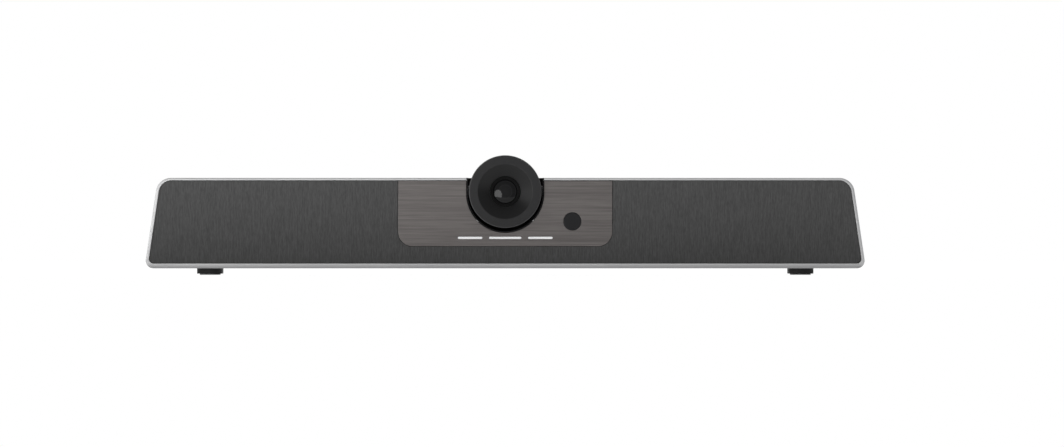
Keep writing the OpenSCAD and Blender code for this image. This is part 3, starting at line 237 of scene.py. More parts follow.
def cloth_finish():
    """Woven polyester speaker cloth: charcoal, matt, with upright slubs. In its plain weave the threads lie
    0.6 mm apart, so over and under change every 0.6 mm both ways. The height is the slubs' noise plus 0.35
    sin(x) sin(z), where half a turn of x or z is one thread."""
    thread = 0.6
    made, tree, shader, place = finish("woven_polyester_charcoal", "#4c4c4c", 0.92, Sheen_Weight=0.06,
                                       Sheen_Roughness=0.5, Specular_IOR_Level=0.15)
    parts = add(tree, "ShaderNodeSeparateXYZ", {0: place})

    def ripple(axis):
        turned_by = {0: parts.outputs[axis], 1: math.pi / (thread * MM)}
        run = add(tree, "ShaderNodeMath", turned_by, operation="MULTIPLY")
        return add(tree, "ShaderNodeMath", {0: run.outputs[0]}, operation="SINE").outputs[0]

    over = add(tree, "ShaderNodeMath", {0: ripple(0), 1: ripple(2)}, operation="MULTIPLY").outputs[0]
    # slubs of 13 mm and a haze of 4 mm between them, both drawn wider than a thread so that they show
    slub = grain(tree, place, 0.7, 1, (1, 1, 18))
    haze = grain(tree, place, 0.8, 2, (1, 1, 5))
    both = add(tree, "ShaderNodeMath", {0: slub, 1: haze}, operation="ADD").outputs[0]
    tint(tree, shader, both, "#484848", "#565656", 0.72, 1.28)
    height = add(tree, "ShaderNodeMath", {0: over, 1: 0.35, 2: slub}, operation="MULTIPLY_ADD").outputs[0]
    relief(tree, shader, height, 0.05, 0, 0.5)
    return made


def panel_finish():
    """Brushed aluminium, anodised taupe: long level hairlines, so the sheen runs up and down. Real
    hairlines are about 0.1 mm wide and would not show, so these are 0.35 mm wide and 32 mm long, among
    bands of 1.4 mm."""
    made, tree, shader, place = finish("brushed_aluminium_taupe", "#6b6664", 0.42, Metallic=0.55,
                                       Specular_IOR_Level=0.3)
    hair = grain(tree, place, 0.35, 2, (90, 1, 1), 0.6)
    broad = grain(tree, place, 1.4, 2, (60, 1, 1))
    both = add(tree, "ShaderNodeMath", {0: hair, 1: broad}, operation="ADD").outputs[0]
    tint(tree, shader, both, "#5f5b5a", "#767270", 0.7, 1.3)
    roughen(tree, shader, hair, 0.36, 0.5)
    relief(tree, shader, hair, 0.02, 0, 0.7)
    return made


def board_finish():
    """Glass-fibre board under green solder mask: a gloss with faint raised tracks. They are 1 mm wide and
    2.1 mm apart, coarser than real ones, so that they show."""
    made, tree, shader, place = finish("glass_fibre_board_green", "#1f5a3a", 0.32, Coat_Weight=0.3)
    inputs = {"Vector": place, "Scale": 1.0, "Mortar Size": 0.5 * MM, "Brick Width": 9.0 * MM,
              "Row Height": 2.1 * MM}
    tracks = add(tree, "ShaderNodeTexBrick", inputs).outputs["Fac"]
    tint(tree, shader, tracks, "#1b5034", "#2c6e48", 0.0, 1.0)
    relief(tree, shader, tracks, 0.03)
    return made


def from_axis(tree, place):
    """The distance of a point from the lens's axis, in metres: the length of its x and z from there."""
    middle = add(tree, "ShaderNodeMapping", {"Vector": place, "Location": (0, 0, -HEAD_Z * MM)})
    flat = add(tree, "ShaderNodeVectorMath", {0: middle.outputs[0], 1: (1, 0, 1)}, operation="MULTIPLY")
    return add(tree, "ShaderNodeVectorMath", {0: flat.outputs[0]}, operation="LENGTH").outputs["Value"]


def lens_finish():
    """Coated optical glass over a black barrel, drawn opaque: its near-black colour is painted shade for the
    dark inside, and faint lighter rings are painted reflections of the elements below, under a hard gloss.
    A ring's place is its share of the glass's radius."""
    made, tree, shader, place = finish("coated_optical_glass", "#0b0b0d", 0.07, Specular_IOR_Level=0.17,
                                       IOR=1.52)
    out = from_axis(tree, place)
    # painted shade and painted reflections: a lighter middle and lighter rings over a dark rim
    share = add(tree, "ShaderNodeMapRange", {"Value": out, "From Max": LENS_R * MM}).outputs[0]
    rings = add(tree, "ShaderNodeValToRGB", {0: share})
    middle, rim = rings.color_ramp.elements
    middle.color, rim.color = linear("#1f1f20"), linear("#0c0c0d")
    for at, code in ((0.5, "#1c1c1d"), (0.56, "#242425"), (0.6, "#19191a"), (0.82, "#151516"),
                     (0.87, "#202021"), (0.9, "#0e0e0f")):
        rings.color_ramp.elements.new(at).color = linear(code)
    tree.links.new(rings.outputs[0], shader.inputs["Base Color"])
    return made


def bezel_finish():
    """Polycarbonate painted a satin dark grey. The dish is coloured near black as painted shade for its
    recess, and the chamfer round the outside is coloured paler as a painted highlight."""
    made, tree, shader, place = finish("painted_pc_dark_grey", "#242425", 0.36, Specular_IOR_Level=0.3)
    out = from_axis(tree, place)
    # painted shade: the dish is near black
    paint = tint(tree, shader, out, "#0b0b0c", "#262627", GREY_FROM * MM, GREY_FULL * MM)
    # painted highlight: the chamfer is paler
    limits = {"From Min": HIGHLIGHT_FROM * MM, "From Max": HIGHLIGHT_FULL * MM}
    share = add(tree, "ShaderNodeMapRange", {"Value": out, **limits}).outputs[0]
    chamfer_highlight = add(tree, "ShaderNodeMix", {0: share, 6: paint, 7: linear("#434344")}, data_type="RGBA")
    tree.links.new(chamfer_highlight.outputs[2], shader.inputs["Base Color"])
    fine = grain(tree, place, 0.3, 3)
    roughen(tree, shader, fine, 0.33, 0.4)
    relief(tree, shader, fine, 0.006)
    return made


FINISHES = {
    # aluminium, bead-blasted and anodised: soft silver with a fine grain, and painted shade darkening it near
    # the table
    "silver_sleeve": satin_metal("anodised_aluminium_silver", "#c6c6c7", "#cecece", 0.6, edge=0.0,
                                 low_shade="#939394"),
    # ABS moulded in a textured tool: near black and dull
    "rear_plastic": moulded("moulded_abs_black", "#1a1b1d", "#232427", 0.55),
    # the same plastic in charcoal: a shade paler than the back, and duller
    "baffle_plastic": moulded("moulded_abs_charcoal", "#26272a", "#2e2f33", 0.6),
    # steel with powder coat: a dull, slightly pebbled skin
    "grille_steel": moulded("powder_coated_steel", "#2f3136", "#393b41", 0.5, 0.9, 0.04),
    # polyester, woven: matt charcoal with upright threads
    "charcoal_cloth": cloth_finish(),
    # aluminium, brushed and anodised: taupe with level hairlines
    "panel_taupe": panel_finish(),
    # milky acrylic, lit from behind: an even white that glows a little
    "light_white": noisy("milky_acrylic", "#e6e7e8", 0.35, 2.0, 0.004, Emission_Color=linear("#ffffff"),
                         Emission_Strength=0.22),
    # glass-fibre board under solder mask: glossy green with faint tracks
    "board_green": board_finish(),
    # dyed polycarbonate that only lets infrared through: black gloss
    "window_dark": noisy("infrared_polycarbonate", "#262627", 0.12, 6.0, 0.004, Specular_IOR_Level=0.25),
    # glass-filled nylon, moulded: black enough to set the head off
    "cradle_black": moulded("moulded_nylon_black", "#050506", "#09090a", 0.5, Specular_IOR_Level=0.2),
    # steel, turned: bright rings round the pins
    "pin_steel": lined_metal("turned_steel_pin", "#7d8085", "#a6a9ad", 0.3, axis="X"),
    # nylon, moulded: dark grey with a low sheen
    "washer_grey": moulded("nylon_grey", "#333336", "#434347", 0.5),
    # polycarbonate, moulded: charcoal with a low satin sheen
    "head_plastic": moulded("moulded_pc_charcoal", "#191a1b", "#202123", 0.48),
    # polycarbonate, painted: satin dark grey, with painted shade in the dish and a painted highlight on the
    # chamfer
    "bezel_grey": bezel_finish(),
    # aluminium under matt black paint: it swallows nearly all light round the lens
    "barrel_black": moulded("matt_black_barrel", "#020202", "#040404", 0.55, 0.3, 0.01, 0.1,
                            Specular_IOR_Level=0.12),
    # glass, polished and coated: clean highlights over painted shade, deep black, with painted reflections in
    # faint rings
    "lens_glass": lens_finish(),
    # silicon under its cover glass: deep blue with a wet gloss
    "sensor_blue": noisy("sensor_die", "#1d2c4f", 0.15, 0.4, 0.005, Coat_Weight=0.6),
    # aluminium, extruded: pale metal with the die's lines
    "sink_alu": lined_metal("extruded_aluminium", "#8f9296", "#b2b5b9", 0.38, 0.4, "X"),
    # steel, blackened: dark metal with a dull glint
    "screw_dark": lined_metal("blackened_steel", "#3c3d40", "#55565a", 0.42, 0.2, "Y"),
    # polyimide film: amber and glossy
    "flex_amber": noisy("polyimide_film", "#8a5414", 0.3, 1.5, 0.01, Coat_Weight=0.3),
    # steel, stamped and painted: near black with a low gloss
    "basket_black": moulded("stamped_steel_black", "#232427", "#2f3034", 0.45),
    # butyl rubber, moulded: black and quite dull
    "surround_rubber": noisy("butyl_rubber", "#161617", 0.75, 1.2, 0.03),
    # pressed paper: dull, fibrous
    "cone_paper": noisy("pressed_paper", "#363638", 0.85, 0.8, 0.06),
    # cotton, dipped in resin and pressed: dull tan with a coarse tooth
    "spider_cloth": noisy("resin_cotton", "#a2804a", 0.85, 0.7, 0.05),
    # steel, turned and zinc-plated: mid grey metal with faint rings
    "magnet_zinc": lined_metal("zinc_plated_steel", "#6a6d72", "#888b90", 0.36, 0.5, "Y"),
    # polystyrene, moulded: dark grey and dull
    "box_plastic": moulded("moulded_ps_dark", "#2d2f32", "#383a3e", 0.6),
    # epoxy, moulded round a chip: dull black with a very fine grain
    "chip_black": moulded("epoxy_chip_black", "#1d1e20", "#27282b", 0.5, 0.3, 0.01, 0.1),
    # liquid-crystal polymer, moulded: black and finely grained
    "port_black": moulded("moulded_lcp_black", "#101012", "#17171a", 0.45, 0.4, 0.01, 0.15),
    # steel, nickel-plated: bright and nearly smooth
    "port_metal": satin_metal("nickel_plated_steel", "#a3a5a8", "#c3c5c8", 0.25, 0.5, 0.006, 0.1),
    # ABS, moulded: grey, and a little smoother than the back
    "button_grey": moulded("moulded_abs_grey", "#3b3c3f", "#46474b", 0.45),
    # steel, galvanised: pale grey metal with patches of 2.5 mm
    "tray_steel": satin_metal("galvanised_steel", "#85888c", "#a9acb0", 0.4, 2.5, 0.01),
    # ABS, moulded: near black with very little gloss
    "foot_plastic": moulded("moulded_abs_foot", "#161617", "#1c1c1d", 0.6, Specular_IOR_Level=0.3),
    # silicone rubber, moulded: mid grey and matt
    "pad_rubber": noisy("silicone_rubber", "#8a8a8b", 0.8, 0.8, 0.03),
    # brass, turned: warm yellow with fine rings
    "insert_brass": lined_metal("turned_brass", "#94773a", "#c7a65a", 0.3, 0.3, "Z"),
}

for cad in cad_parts.values():
    for own in cad.material_slots:
        own.material = FINISHES[own.material.name.split(".")[0]]


# Shapes


def make(name, points, faces, body, slot, stands_for=(), sharp=SHARP):
    """A piece from points in millimetres. Doubled points are merged, faces are turned outwards, edges of
    more than sharp degrees stay crisp, and large faces shade flat."""
    mesh = bpy.data.meshes.new(name)
    mesh.from_pydata((np.asarray(points) * MM).tolist(), [], [list(map(int, face)) for face in faces])
    work = bmesh.new()
    work.from_mesh(mesh)
    bmesh.ops.remove_doubles(work, verts=work.verts, dist=SAME_POINT)
    bmesh.ops.recalc_face_normals(work, faces=work.faces)
    work.to_mesh(mesh)
    work.free()
    mesh.shade_smooth()
    mesh.set_sharp_from_angle(angle=math.radians(sharp))
    piece = bpy.data.objects.new(name, mesh)
    bpy.context.scene.collection.objects.link(piece)
    mesh.materials.append(FINISHES[slot])
    piece.modifiers.new("even_faces", "WEIGHTED_NORMAL").keep_sharp = True
    if body:
        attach(piece, body)
    if stands_for:
        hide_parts(*stands_for)
    return piece


def filleted(points, radii, steps=5):
    """A closed chain of straight lines with round corners. Each corner point gives way to an arc that
    touches both its lines; the arc's centre lies on the corner's half line, at radius over the sine of half
    the angle."""
    p = np.asarray(points, float)
    out = []
    for before, at, after, r in zip(np.roll(p, 1, 0), p, np.roll(p, -1, 0), radii):
        if r <= 0:
            out.append(at[None])
            continue
        u = (before - at) / np.linalg.norm(before - at)
        v = (after - at) / np.linalg.norm(after - at)
        half = math.acos(np.clip(u @ v, -1, 1)) / 2
        centre = at + (u + v) / np.linalg.norm(u + v) * r / math.sin(half)
        a, b = at + u * r / math.tan(half) - centre, at + v * r / math.tan(half) - centre
        turn = math.pi - 2 * half
        k = np.linspace(0, 1, steps + 1)[:, None]
        out.append(centre + (np.sin((1 - k) * turn) * a + np.sin(k * turn) * b) / math.sin(turn))
    return np.concatenate(out)


def grid_faces(rows, columns, loop_rows=True, loop_columns=True):
    """Quads between neighbouring points of a grid numbered row by row, closed on itself where asked."""
    down, along = np.arange(rows - (not loop_rows)), np.arange(columns - (not loop_columns))
    i, j = np.meshgrid(down, along, indexing="ij")
    i2, j2 = (i + 1) % rows, (j + 1) % columns
    corners = [i * columns + j, i * columns + j2, i2 * columns + j2, i2 * columns + j]
    return np.stack(corners, -1).reshape(-1, 4)


def turned(profile, n, centre=(0.0, TILT_Y, HEAD_Z), closed=True):
    """A profile of (h, r) turned about an axis towards the front: x = r cos a, y = -h, z = r sin a."""
    h, r = np.asarray(profile, float).T
    a = np.arange(n) * math.tau / n
    x, z = r[:, None] * np.cos(a), r[:, None] * np.sin(a)
    y = np.repeat(-h[:, None], n, 1)
    return np.stack([x, y, z], -1).reshape(-1, 3) + centre, grid_faces(len(h), n, closed)


def turned_corners(corners, n):
    """A closed profile turned about the head's axis; each corner is (h, r, radius of its rounding)."""
    h, r, rounding = np.asarray(corners, float).T
    return turned(filleted(np.stack([h, r], -1), rounding), n)


def half_width(z):
    """Half the bar's width at a height: it narrows evenly from the lower edge to the top."""
    return BAR_BOTTOM_W / 2 - (z - BAR_Z0) * math.tan(LEAN)


def bar_outline(side, top, bottom, r_top, r_bottom, stop):
    """The bar's outline drawn in by its walls, and its outward normals: four leaning sides joined by round
    corners, with two extra points on the top edge at plus and minus stop. A corner's point is its middle
    plus radius times (cos a, sin a). It runs anticlockwise from the right lower corner, with as many points
    whatever the walls."""
    low_n, high_n = 13, 17
    z0, z1 = BAR_Z0 + bottom + r_bottom, BAR_Z1 - top - r_top
    x0 = half_width(z0) - (side + r_bottom) / math.cos(LEAN)
    x1 = half_width(z1) - (side + r_top) / math.cos(LEAN)
    low, high = np.linspace(-math.pi / 2, LEAN, low_n), np.linspace(LEAN, math.pi / 2, high_n)
    angles = np.concatenate([low, high])
    normal = np.stack([np.cos(angles), np.sin(angles)], -1)
    middle = np.concatenate([np.tile([x0, z0], (low_n, 1)), np.tile([x1, z1], (high_n, 1))])
    radius = np.concatenate([np.full(low_n, r_bottom), np.full(high_n, r_top)])[:, None]
    right = np.concatenate([middle + normal * radius, [[stop, BAR_Z1 - top]]])
    normal = np.concatenate([normal, [[0.0, 1.0]]])
    flip = np.array([-1, 1])
    return np.concatenate([right, right[::-1] * flip]), np.concatenate([normal, normal[::-1] * flip])


def sleeve():
    """The silver sleeve. A closed loop of rows runs from the front edge over the inner wall to the back and
    home over the outer wall; a point of a row is the outline's point drawn in along its normal by
    r (1 - cos a), while its depth goes r (1 - sin a) round each edge. The opening for the cradle is a block
    of the grid left out and walled up."""
    outer, out_n = bar_outline(0, 0, 0, TOP_CORNER, BOTTOM_CORNER, OPENING_X)
    inner, in_n = bar_outline(SIDE_WALL, TOP_WALL, BOTTOM_WALL, TOP_CORNER - TOP_WALL,
                              BOTTOM_CORNER - SIDE_WALL, OPENING_X)
    turn = np.linspace(0, math.pi / 2, 7)

    def rows(base, normal, radius, end_y, way, spin):
        """Rows round one edge: way is the side that the wall's depth runs to, spin reverses them."""
        a = turn[::-1] if spin else turn
        flat = base - normal * (radius * (1 - np.cos(a)))[:, None, None]
        depth = np.broadcast_to((end_y + way * radius * (1 - np.sin(a)))[:, None], flat.shape[:2])
        return np.stack([flat[..., 0], depth, flat[..., 1]], -1)

    def level(base, y):
        return np.stack([base[:, 0], np.full(len(base), y), base[:, 1]], -1)[None]

    surface = np.concatenate([
        level(outer, OPENING_Y),
        rows(outer, out_n, FRONT_EDGE, FRONT_Y, 1, False),
        rows(inner, -in_n, INNER_EDGE, FRONT_Y, 1, True),
        level(inner, OPENING_Y),
        rows(inner, -in_n, INNER_EDGE, BACK_Y, -1, False),
        rows(outer, out_n, BACK_EDGE, BACK_Y, -1, True),
    ])
    count, across = surface.shape[:2]
    faces = grid_faces(count, across)
    inside_row = 1 + 2 * len(turn)
    gap = across // 2 - 1
    row, column = faces[:, 0] // across, faces[:, 0] % across
    faces = faces[~((row < inside_row) & (column == gap))].tolist()
    for c in (gap, gap + 1):
        faces.append([r * across + c for r in range(inside_row + 1)])
    faces.append([gap, gap + 1, inside_row * across + gap + 1, inside_row * across + gap])
    return surface.reshape(-1, 3), faces


def drilled(piece, cutters):
    """Cuts turned plugs out of a piece, and leaves no live modifier behind. A plug is (x, y, profile): each
    (z, r) of its profile is a ring x + r cos a, y + r sin a at the height z. Both ends are closed."""
    sides = 40
    a = np.arange(sides) * math.tau / sides
    points, faces, start = [], [], 0
    for x, y, profile in cutters:
        z, r = np.asarray(profile, float).T
        ring = [x + r[:, None] * np.cos(a), y + r[:, None] * np.sin(a), np.repeat(z[:, None], sides, 1)]
        points.append(np.stack(ring, -1).reshape(-1, 3))
        faces += (grid_faces(len(z), sides, False) + start).tolist()
        last = start + sides * (len(z) - 1)
        faces += [list(range(start, start + sides))[::-1], list(range(last, last + sides))]
        start = last + sides
    mesh = bpy.data.meshes.new("plugs")
    mesh.from_pydata((np.concatenate(points) * MM).tolist(), [], faces)
    plug = bpy.data.objects.new("plugs", mesh)
    bpy.context.scene.collection.objects.link(plug)
    work = bmesh.new()
    work.from_mesh(mesh)
    bmesh.ops.recalc_face_normals(work, faces=work.faces)
    work.to_mesh(mesh)
    work.free()
    live = piece.modifiers.new("holes", "BOOLEAN")
    live.operation, live.solver, live.object = "DIFFERENCE", "EXACT", plug
    even = piece.modifiers["even_faces"]
    even.show_viewport = False
    bpy.context.view_layer.update()
    cut = bpy.data.meshes.new_from_object(piece.evaluated_get(bpy.context.evaluated_depsgraph_get()))
    piece.modifiers.remove(live)
    even.show_viewport = True
    piece.data = cut
    cut.set_sharp_from_angle(angle=math.radians(SHARP))
    bpy.data.objects.remove(plug)


def loop_normals(loop):
    """The way out of each point of a closed loop: the sum of its sides' normals, longer at corners."""
    ahead = np.roll(loop, -1, 0) - loop
    ahead = np.stack([ahead[:, 1], -ahead[:, 0]], -1) / np.linalg.norm(ahead, axis=1)[:, None]
    behind = np.roll(ahead, 1, 0)
    return (ahead + behind) / (1 + (ahead * behind).sum(1))[:, None]


def plate(loops, rows):
    """A flat plate between its edge loops, the first one anticlockwise and its holes clockwise. Each row
    draws all the loops in by an inset at a depth; the first and last rows are filled."""
    sizes = [len(loop) for loop in loops]
    starts = np.concatenate([[0], np.cumsum(sizes)])
    flat, way = np.concatenate(loops), np.concatenate([loop_normals(loop) for loop in loops])
    total = len(flat)
    levels = [np.insert(flat - way * inset, 1, y, axis=1) for inset, y in rows]
    faces = []
    for size, start in zip(sizes, starts):
        j = np.arange(size)
        for k in range(len(rows) - 1):
            a, b = k * total + start, (k + 1) * total + start
            faces += np.stack([a + j, a + (j + 1) % size, b + (j + 1) % size, b + j], -1).tolist()
    for k in (0, len(rows) - 1):
        rings = [[Vector((x, z, 0)) for x, _, z in levels[k][s:s + n]] for s, n in zip(starts, sizes)]
        faces += [[k * total + i for i in face] for face in tessellate_polygon(rings)]
    return np.concatenate(levels), faces


def arc(x, z, r, start, end, n):
    """Points of an arc from one angle in degrees to another."""
    a = np.radians(np.linspace(start, end, n))
    return np.stack([x + r * np.cos(a), z + r * np.sin(a)], -1)


def edge_rows(front, back, radius):
    """Rows round the front edge, inset r (1 - sin a) at a depth r (1 - cos a), then straight back."""
    a = np.linspace(0, math.pi / 2, 5)
    return [(radius * (1 - math.sin(t)), front + radius * (1 - math.cos(t))) for t in a] + [(0.0, back)]


def panel_edge(grow):
    """The panel's two sides and round lower corners, from the top left down and round to the top right."""
    w, r = PANEL_HALF + grow, PANEL_CORNER + grow
    z = PANEL_Z0 - grow + r
    top = IN_Z1 - (CLEAR if grow else PANEL_GAP)
    left, right = arc(-w + r, z, r, 180, 270, 13), arc(w - r, z, r, 270, 360, 13)
    return np.concatenate([[[-w, top]], left, right, [[w, top]]])


def slot_edge(x, z, w, h):
    """A slot with round ends, clockwise: two half circles of half its height, joined by straight lines."""
    r = h / 2
    ends = np.concatenate([arc(x + w / 2 - r, z, r, -90, 90, 9), arc(x - w / 2 + r, z, r, 90, 270, 9)])
    return ends[::-1]


def cross_screws(name, spots, outward, head_r, head_t, shank_r, length, body, stands_for):
    """Screws whose heads have a cross recess. A profile of (depth, radius) is turned about each screw's
    axis; on the flat of the head the depth grows by the recess inside either bar of a cross. The bars are
    1.1 head radii long and 0.32 wide, and the depth fades in over 0.15 mm at their edges."""
    recess, fade = 0.9, 0.15
    arm, half = 0.55 * head_r, 0.16 * head_r
    n = 64
    # from the bevelled end of the shank, under the head and over its eased rim; the flat of the head follows
    rim = [(length, 0.02), (length, shank_r * 0.8), (length - 0.4, shank_r), (head_t, shank_r),
           (head_t, head_r), (0.35, head_r), (0.1, head_r - 0.12), (0.0, head_r - 0.35)]
    top = [(0.0, r) for r in np.linspace(head_r - 0.45, 0.0, 15)]
    depth, radius = (np.asarray(rim + top, float).T)[:, :, None]
    a = (np.arange(n) * math.tau / n)[None, :]
    u, v = radius * np.cos(a), radius * np.sin(a)
    depth = np.repeat(depth, n, 1)

    def inside(across, along):
        wide = np.clip((half - np.abs(across)) / fade + 0.5, 0, 1)
        return wide * np.clip((arm - np.abs(along)) / fade + 0.5, 0, 1)

    depth[len(rim):] += recess * np.maximum(inside(u, v), inside(v, u))[len(rim):]
    w = np.asarray(outward, float)
    side = np.cross(w, (1.0, 0.0, 0.0))
    other = np.cross(w, side)
    one = u[..., None] * side + v[..., None] * other - depth[..., None] * w
    points = np.concatenate([one.reshape(-1, 3) + np.asarray(spot, float) for spot in spots])
    quads = grid_faces(len(depth), n, False)
    faces = np.concatenate([quads + k * one[..., 0].size for k in range(len(spots))])
    make(name, points, faces, body, "screw_dark", stands_for, sharp=30.0)


def flat_cable(route, width, thick, bend):
    """A flat cable: a line in the y, z plane with round bends, set out at even steps of a millimetre; at
    each step the four corners lie half the width to either side and half the thickness along the line's
    normal."""
    line = filleted(route, [0] + [bend] * (len(route) - 2) + [0], 6)
    run = np.concatenate([[0], np.cumsum(np.linalg.norm(np.diff(line, axis=0), axis=1))])
    at = np.linspace(0, run[-1], int(run[-1]) + 1)
    y, z = np.interp(at, run, line[:, 0]), np.interp(at, run, line[:, 1])
    n = len(at)
    along = np.gradient(np.stack([y, z], -1), axis=0)
    normal = np.stack([-along[:, 1], along[:, 0]], -1) / np.linalg.norm(along, axis=1)[:, None] * thick / 2
    rows = [np.stack([np.full(n, side * width / 2), y + up * normal[:, 0], z + up * normal[:, 1]], -1)
            for side, up in ((-1, -1), (-1, 1), (1, 1), (1, -1))]
    faces = grid_faces(4, n, True, False).tolist()
    faces += [[k * n for k in range(4)], [k * n + n - 1 for k in (3, 2, 1, 0)]]
    return np.concatenate(rows), faces


def contacts(name, x_mid, count, pitch, width, tongue, y_back, y_front):
    """Rows of sprung contacts on both faces of a socket's tongue. A contact is a strip that stands 0.03 mm
    proud; near its free end it rises by 0.12 sin t, where t makes half a turn over 0.4 of its length."""
    n = 9
    proud, hump, hump_from, hump_run = 0.03, 0.12, 0.55, 0.4
    s = np.linspace(0, 1, n)
    y = y_back + (y_front - y_back) * s
    lift = proud + hump * np.sin(np.clip((s - hump_from) / hump_run, 0, 1) * math.pi)
    points, faces = [], []
    for k in range(count):
        x = x_mid + (k - (count - 1) / 2) * pitch
        left, right = x - width / 2, x + width / 2
        for sign, z in ((1, tongue[1]), (-1, tongue[0])):
            base = n * len(points)
            rows = [(left, z), (left, z + sign * lift), (right, z + sign * lift), (right, z)]
            points += [np.stack([np.full(n, px), y, np.broadcast_to(pz, n)], -1) for px, pz in rows]
            faces += (grid_faces(4, n, True, False) + base).tolist()
            faces += [[base + r * n for r in range(4)], [base + r * n + n - 1 for r in (3, 2, 1, 0)]]
    make(name, np.concatenate(points), faces, "housing", "insert_brass")


# The pieces, from the bar to its front, the head and the back

bar = make("sleeve", *sleeve(), "housing", "silver_sleeve", ["housing_shell"])
screw_bore = [(BORE_Z0, HEAD_BORE), (SEAT_Z, HEAD_BORE), (SEAT_Z, SHANK_BORE), (BORE_Z1, SHANK_BORE)]
plain_bores = [(x, y, SHANK_BORE) for x, y in FOOT_SCREWS] + [(0, 0, BUSH_BORE)]
plain_bores += [(x, 0, INSERT_BORE) for x in (-INSERT_X, INSERT_X)]
drilled(bar, [(x, y, screw_bore) for x, y in TRAY_SCREWS]
        + [(x, y, [(BORE_Z0, r), (BORE_Z1, r)]) for x, y, r in plain_bores])

# The cloth: a U round the panel, its edges rolled over the plate behind it
ring, _ = bar_outline(SIDE_WALL + CLEAR, TOP_WALL + CLEAR, BOTTOM_WALL + CLEAR,
                      TOP_CORNER - TOP_WALL - CLEAR, BOTTOM_CORNER - SIDE_WALL - CLEAR, PANEL_HALF + CLEAR)
half_ring = len(ring) // 2
cloth_loop = np.concatenate([ring[:half_ring - 1], panel_edge(CLEAR)[::-1], ring[half_ring + 1:]])
cloth_rows = edge_rows(CLOTH_Y, CLOTH_Y + CLOTH_T, CLOTH_ROLL)
cloth = make("front_cloth", *plate([cloth_loop], cloth_rows), "housing", "charcoal_cloth", ["grille_cloth"])

# The panel: square on top, round below, with the cradle's notch, three slots for the lights and the
# window's hole
panel_top = IN_Z1 - PANEL_GAP
notch = [[[OPENING_X, panel_top]], arc(0, CRADLE_Z, OPENING_X, 0, -180, 73), [[-OPENING_X, panel_top]]]
panel_loop = np.concatenate([panel_edge(0), *notch])
slots = [slot_edge(x, LIGHT_Z, w + 2 * HOLE_GAP, LIGHT_H + 2 * HOLE_GAP) for x, w in LIGHTS]
window_hole = arc(WINDOW_X, WINDOW_Z, WINDOW_R + HOLE_GAP, 0, -360, 73)[:-1]
panel_rows = edge_rows(PANEL_Y, PANEL_Y + PANEL_T, PANEL_ROLL)
make("centre_plate", *plate([panel_loop, *slots, window_hole], panel_rows), "housing", "panel_taupe",
     ["centre_panel"])

# The window: a flat disc with a rolled edge, in its hole
window_roll = [(WINDOW_ROLL * (math.cos(t) - 1), WINDOW_R + WINDOW_ROLL * (math.sin(t) - 1))
               for t in np.linspace(0.2, math.pi / 2, 5)]
window_profile = [(0.0, 0.0), (0.0, WINDOW_R - WINDOW_ROLL), *window_roll, (-PANEL_T, WINDOW_R),
                  (-PANEL_T, 0.0)]
make("receiver_window", *turned(window_profile, 96, (WINDOW_X, PANEL_Y, WINDOW_Z), False), "housing",
     "window_dark", ["ir_window"])

# The bezel: a flat ring with a chamfer round it, and a cone that runs down to the lens
bezel = [
    (FACE_H - BEZEL_T, HEAD_R, 0.2),
    (FACE_H - BEZEL_CHAMFER, HEAD_R, 0.15),
    (FACE_H, HEAD_R - BEZEL_CHAMFER, 0.15),
    (FACE_H, DISH_R, 0.35),
    (FACE_H - DISH_DEPTH, RING_R, 0.15),
    (FACE_H - DISH_DEPTH - DISH_WALL, RING_R, 0),
    (FACE_H - DISH_DEPTH - DISH_WALL, RING_R + DISH_FOOT, 0),
    (FACE_H - BEZEL_T, DISH_R + DISH_BACK, 0),
]
make("head_face", *turned_corners(bezel, 192), "head", "bezel_grey", ["head_bezel"])

# The lens barrel: a black ring stepped down to the glass
barrel = [
    (STEM_H, STEM_R, 0),
    (SHOULDER_H, STEM_R, 0),
    (SHOULDER_H, BARREL_R, 0),
    (BARREL_H, BARREL_R, 0.3),
    (BARREL_H, STEP_R, 0.1),
    (BARREL_H - STEP_DEPTH, STEP_IN_R, 0.1),
    (BARREL_H - STEP_DEPTH, LENS_R + 0.3, 0.1),
    (BARREL_H - STEP_DEPTH - STEP_BEVEL, LENS_R + LENS_FIT, 0.05),
    (SEAT_H, LENS_R + LENS_FIT, 0),
    (SEAT_H, BARREL_BORE, 0.1),
    (SHOULDER_H, BARREL_BORE, 0),
    (SHOULDER_H, STEM_BORE, 0),
    (STEM_H, STEM_BORE, 0),
]
make("lens_tube", *turned_corners(barrel, 160), "head", "barrel_black", ["lens_barrel"])

# The front glass: a dome outside and a shallow hollow behind, both caps of spheres
dome_r = (LENS_R ** 2 + LENS_DOME ** 2) / 2 / LENS_DOME
dome_middle = SEAT_H + LENS_EDGE + LENS_DOME - dome_r
outward = LENS_R * np.linspace(0, 1, 16)
front = np.stack([dome_middle + np.sqrt(dome_r ** 2 - outward ** 2), outward], -1)
hollow_rim = LENS_R - HOLLOW_RIM
hollow_middle = SEAT_H - math.sqrt(HOLLOW_R ** 2 - hollow_rim ** 2)
inward = hollow_rim * np.linspace(1, 0, 16)
hollow = np.stack([hollow_middle + np.sqrt(HOLLOW_R ** 2 - inward ** 2), inward], -1)
glass = np.concatenate([front, [[SEAT_H + LENS_FIT, LENS_R]], hollow])
make("front_glass", *turned(glass, 128, closed=False), "head", "lens_glass", ["front_lens"])

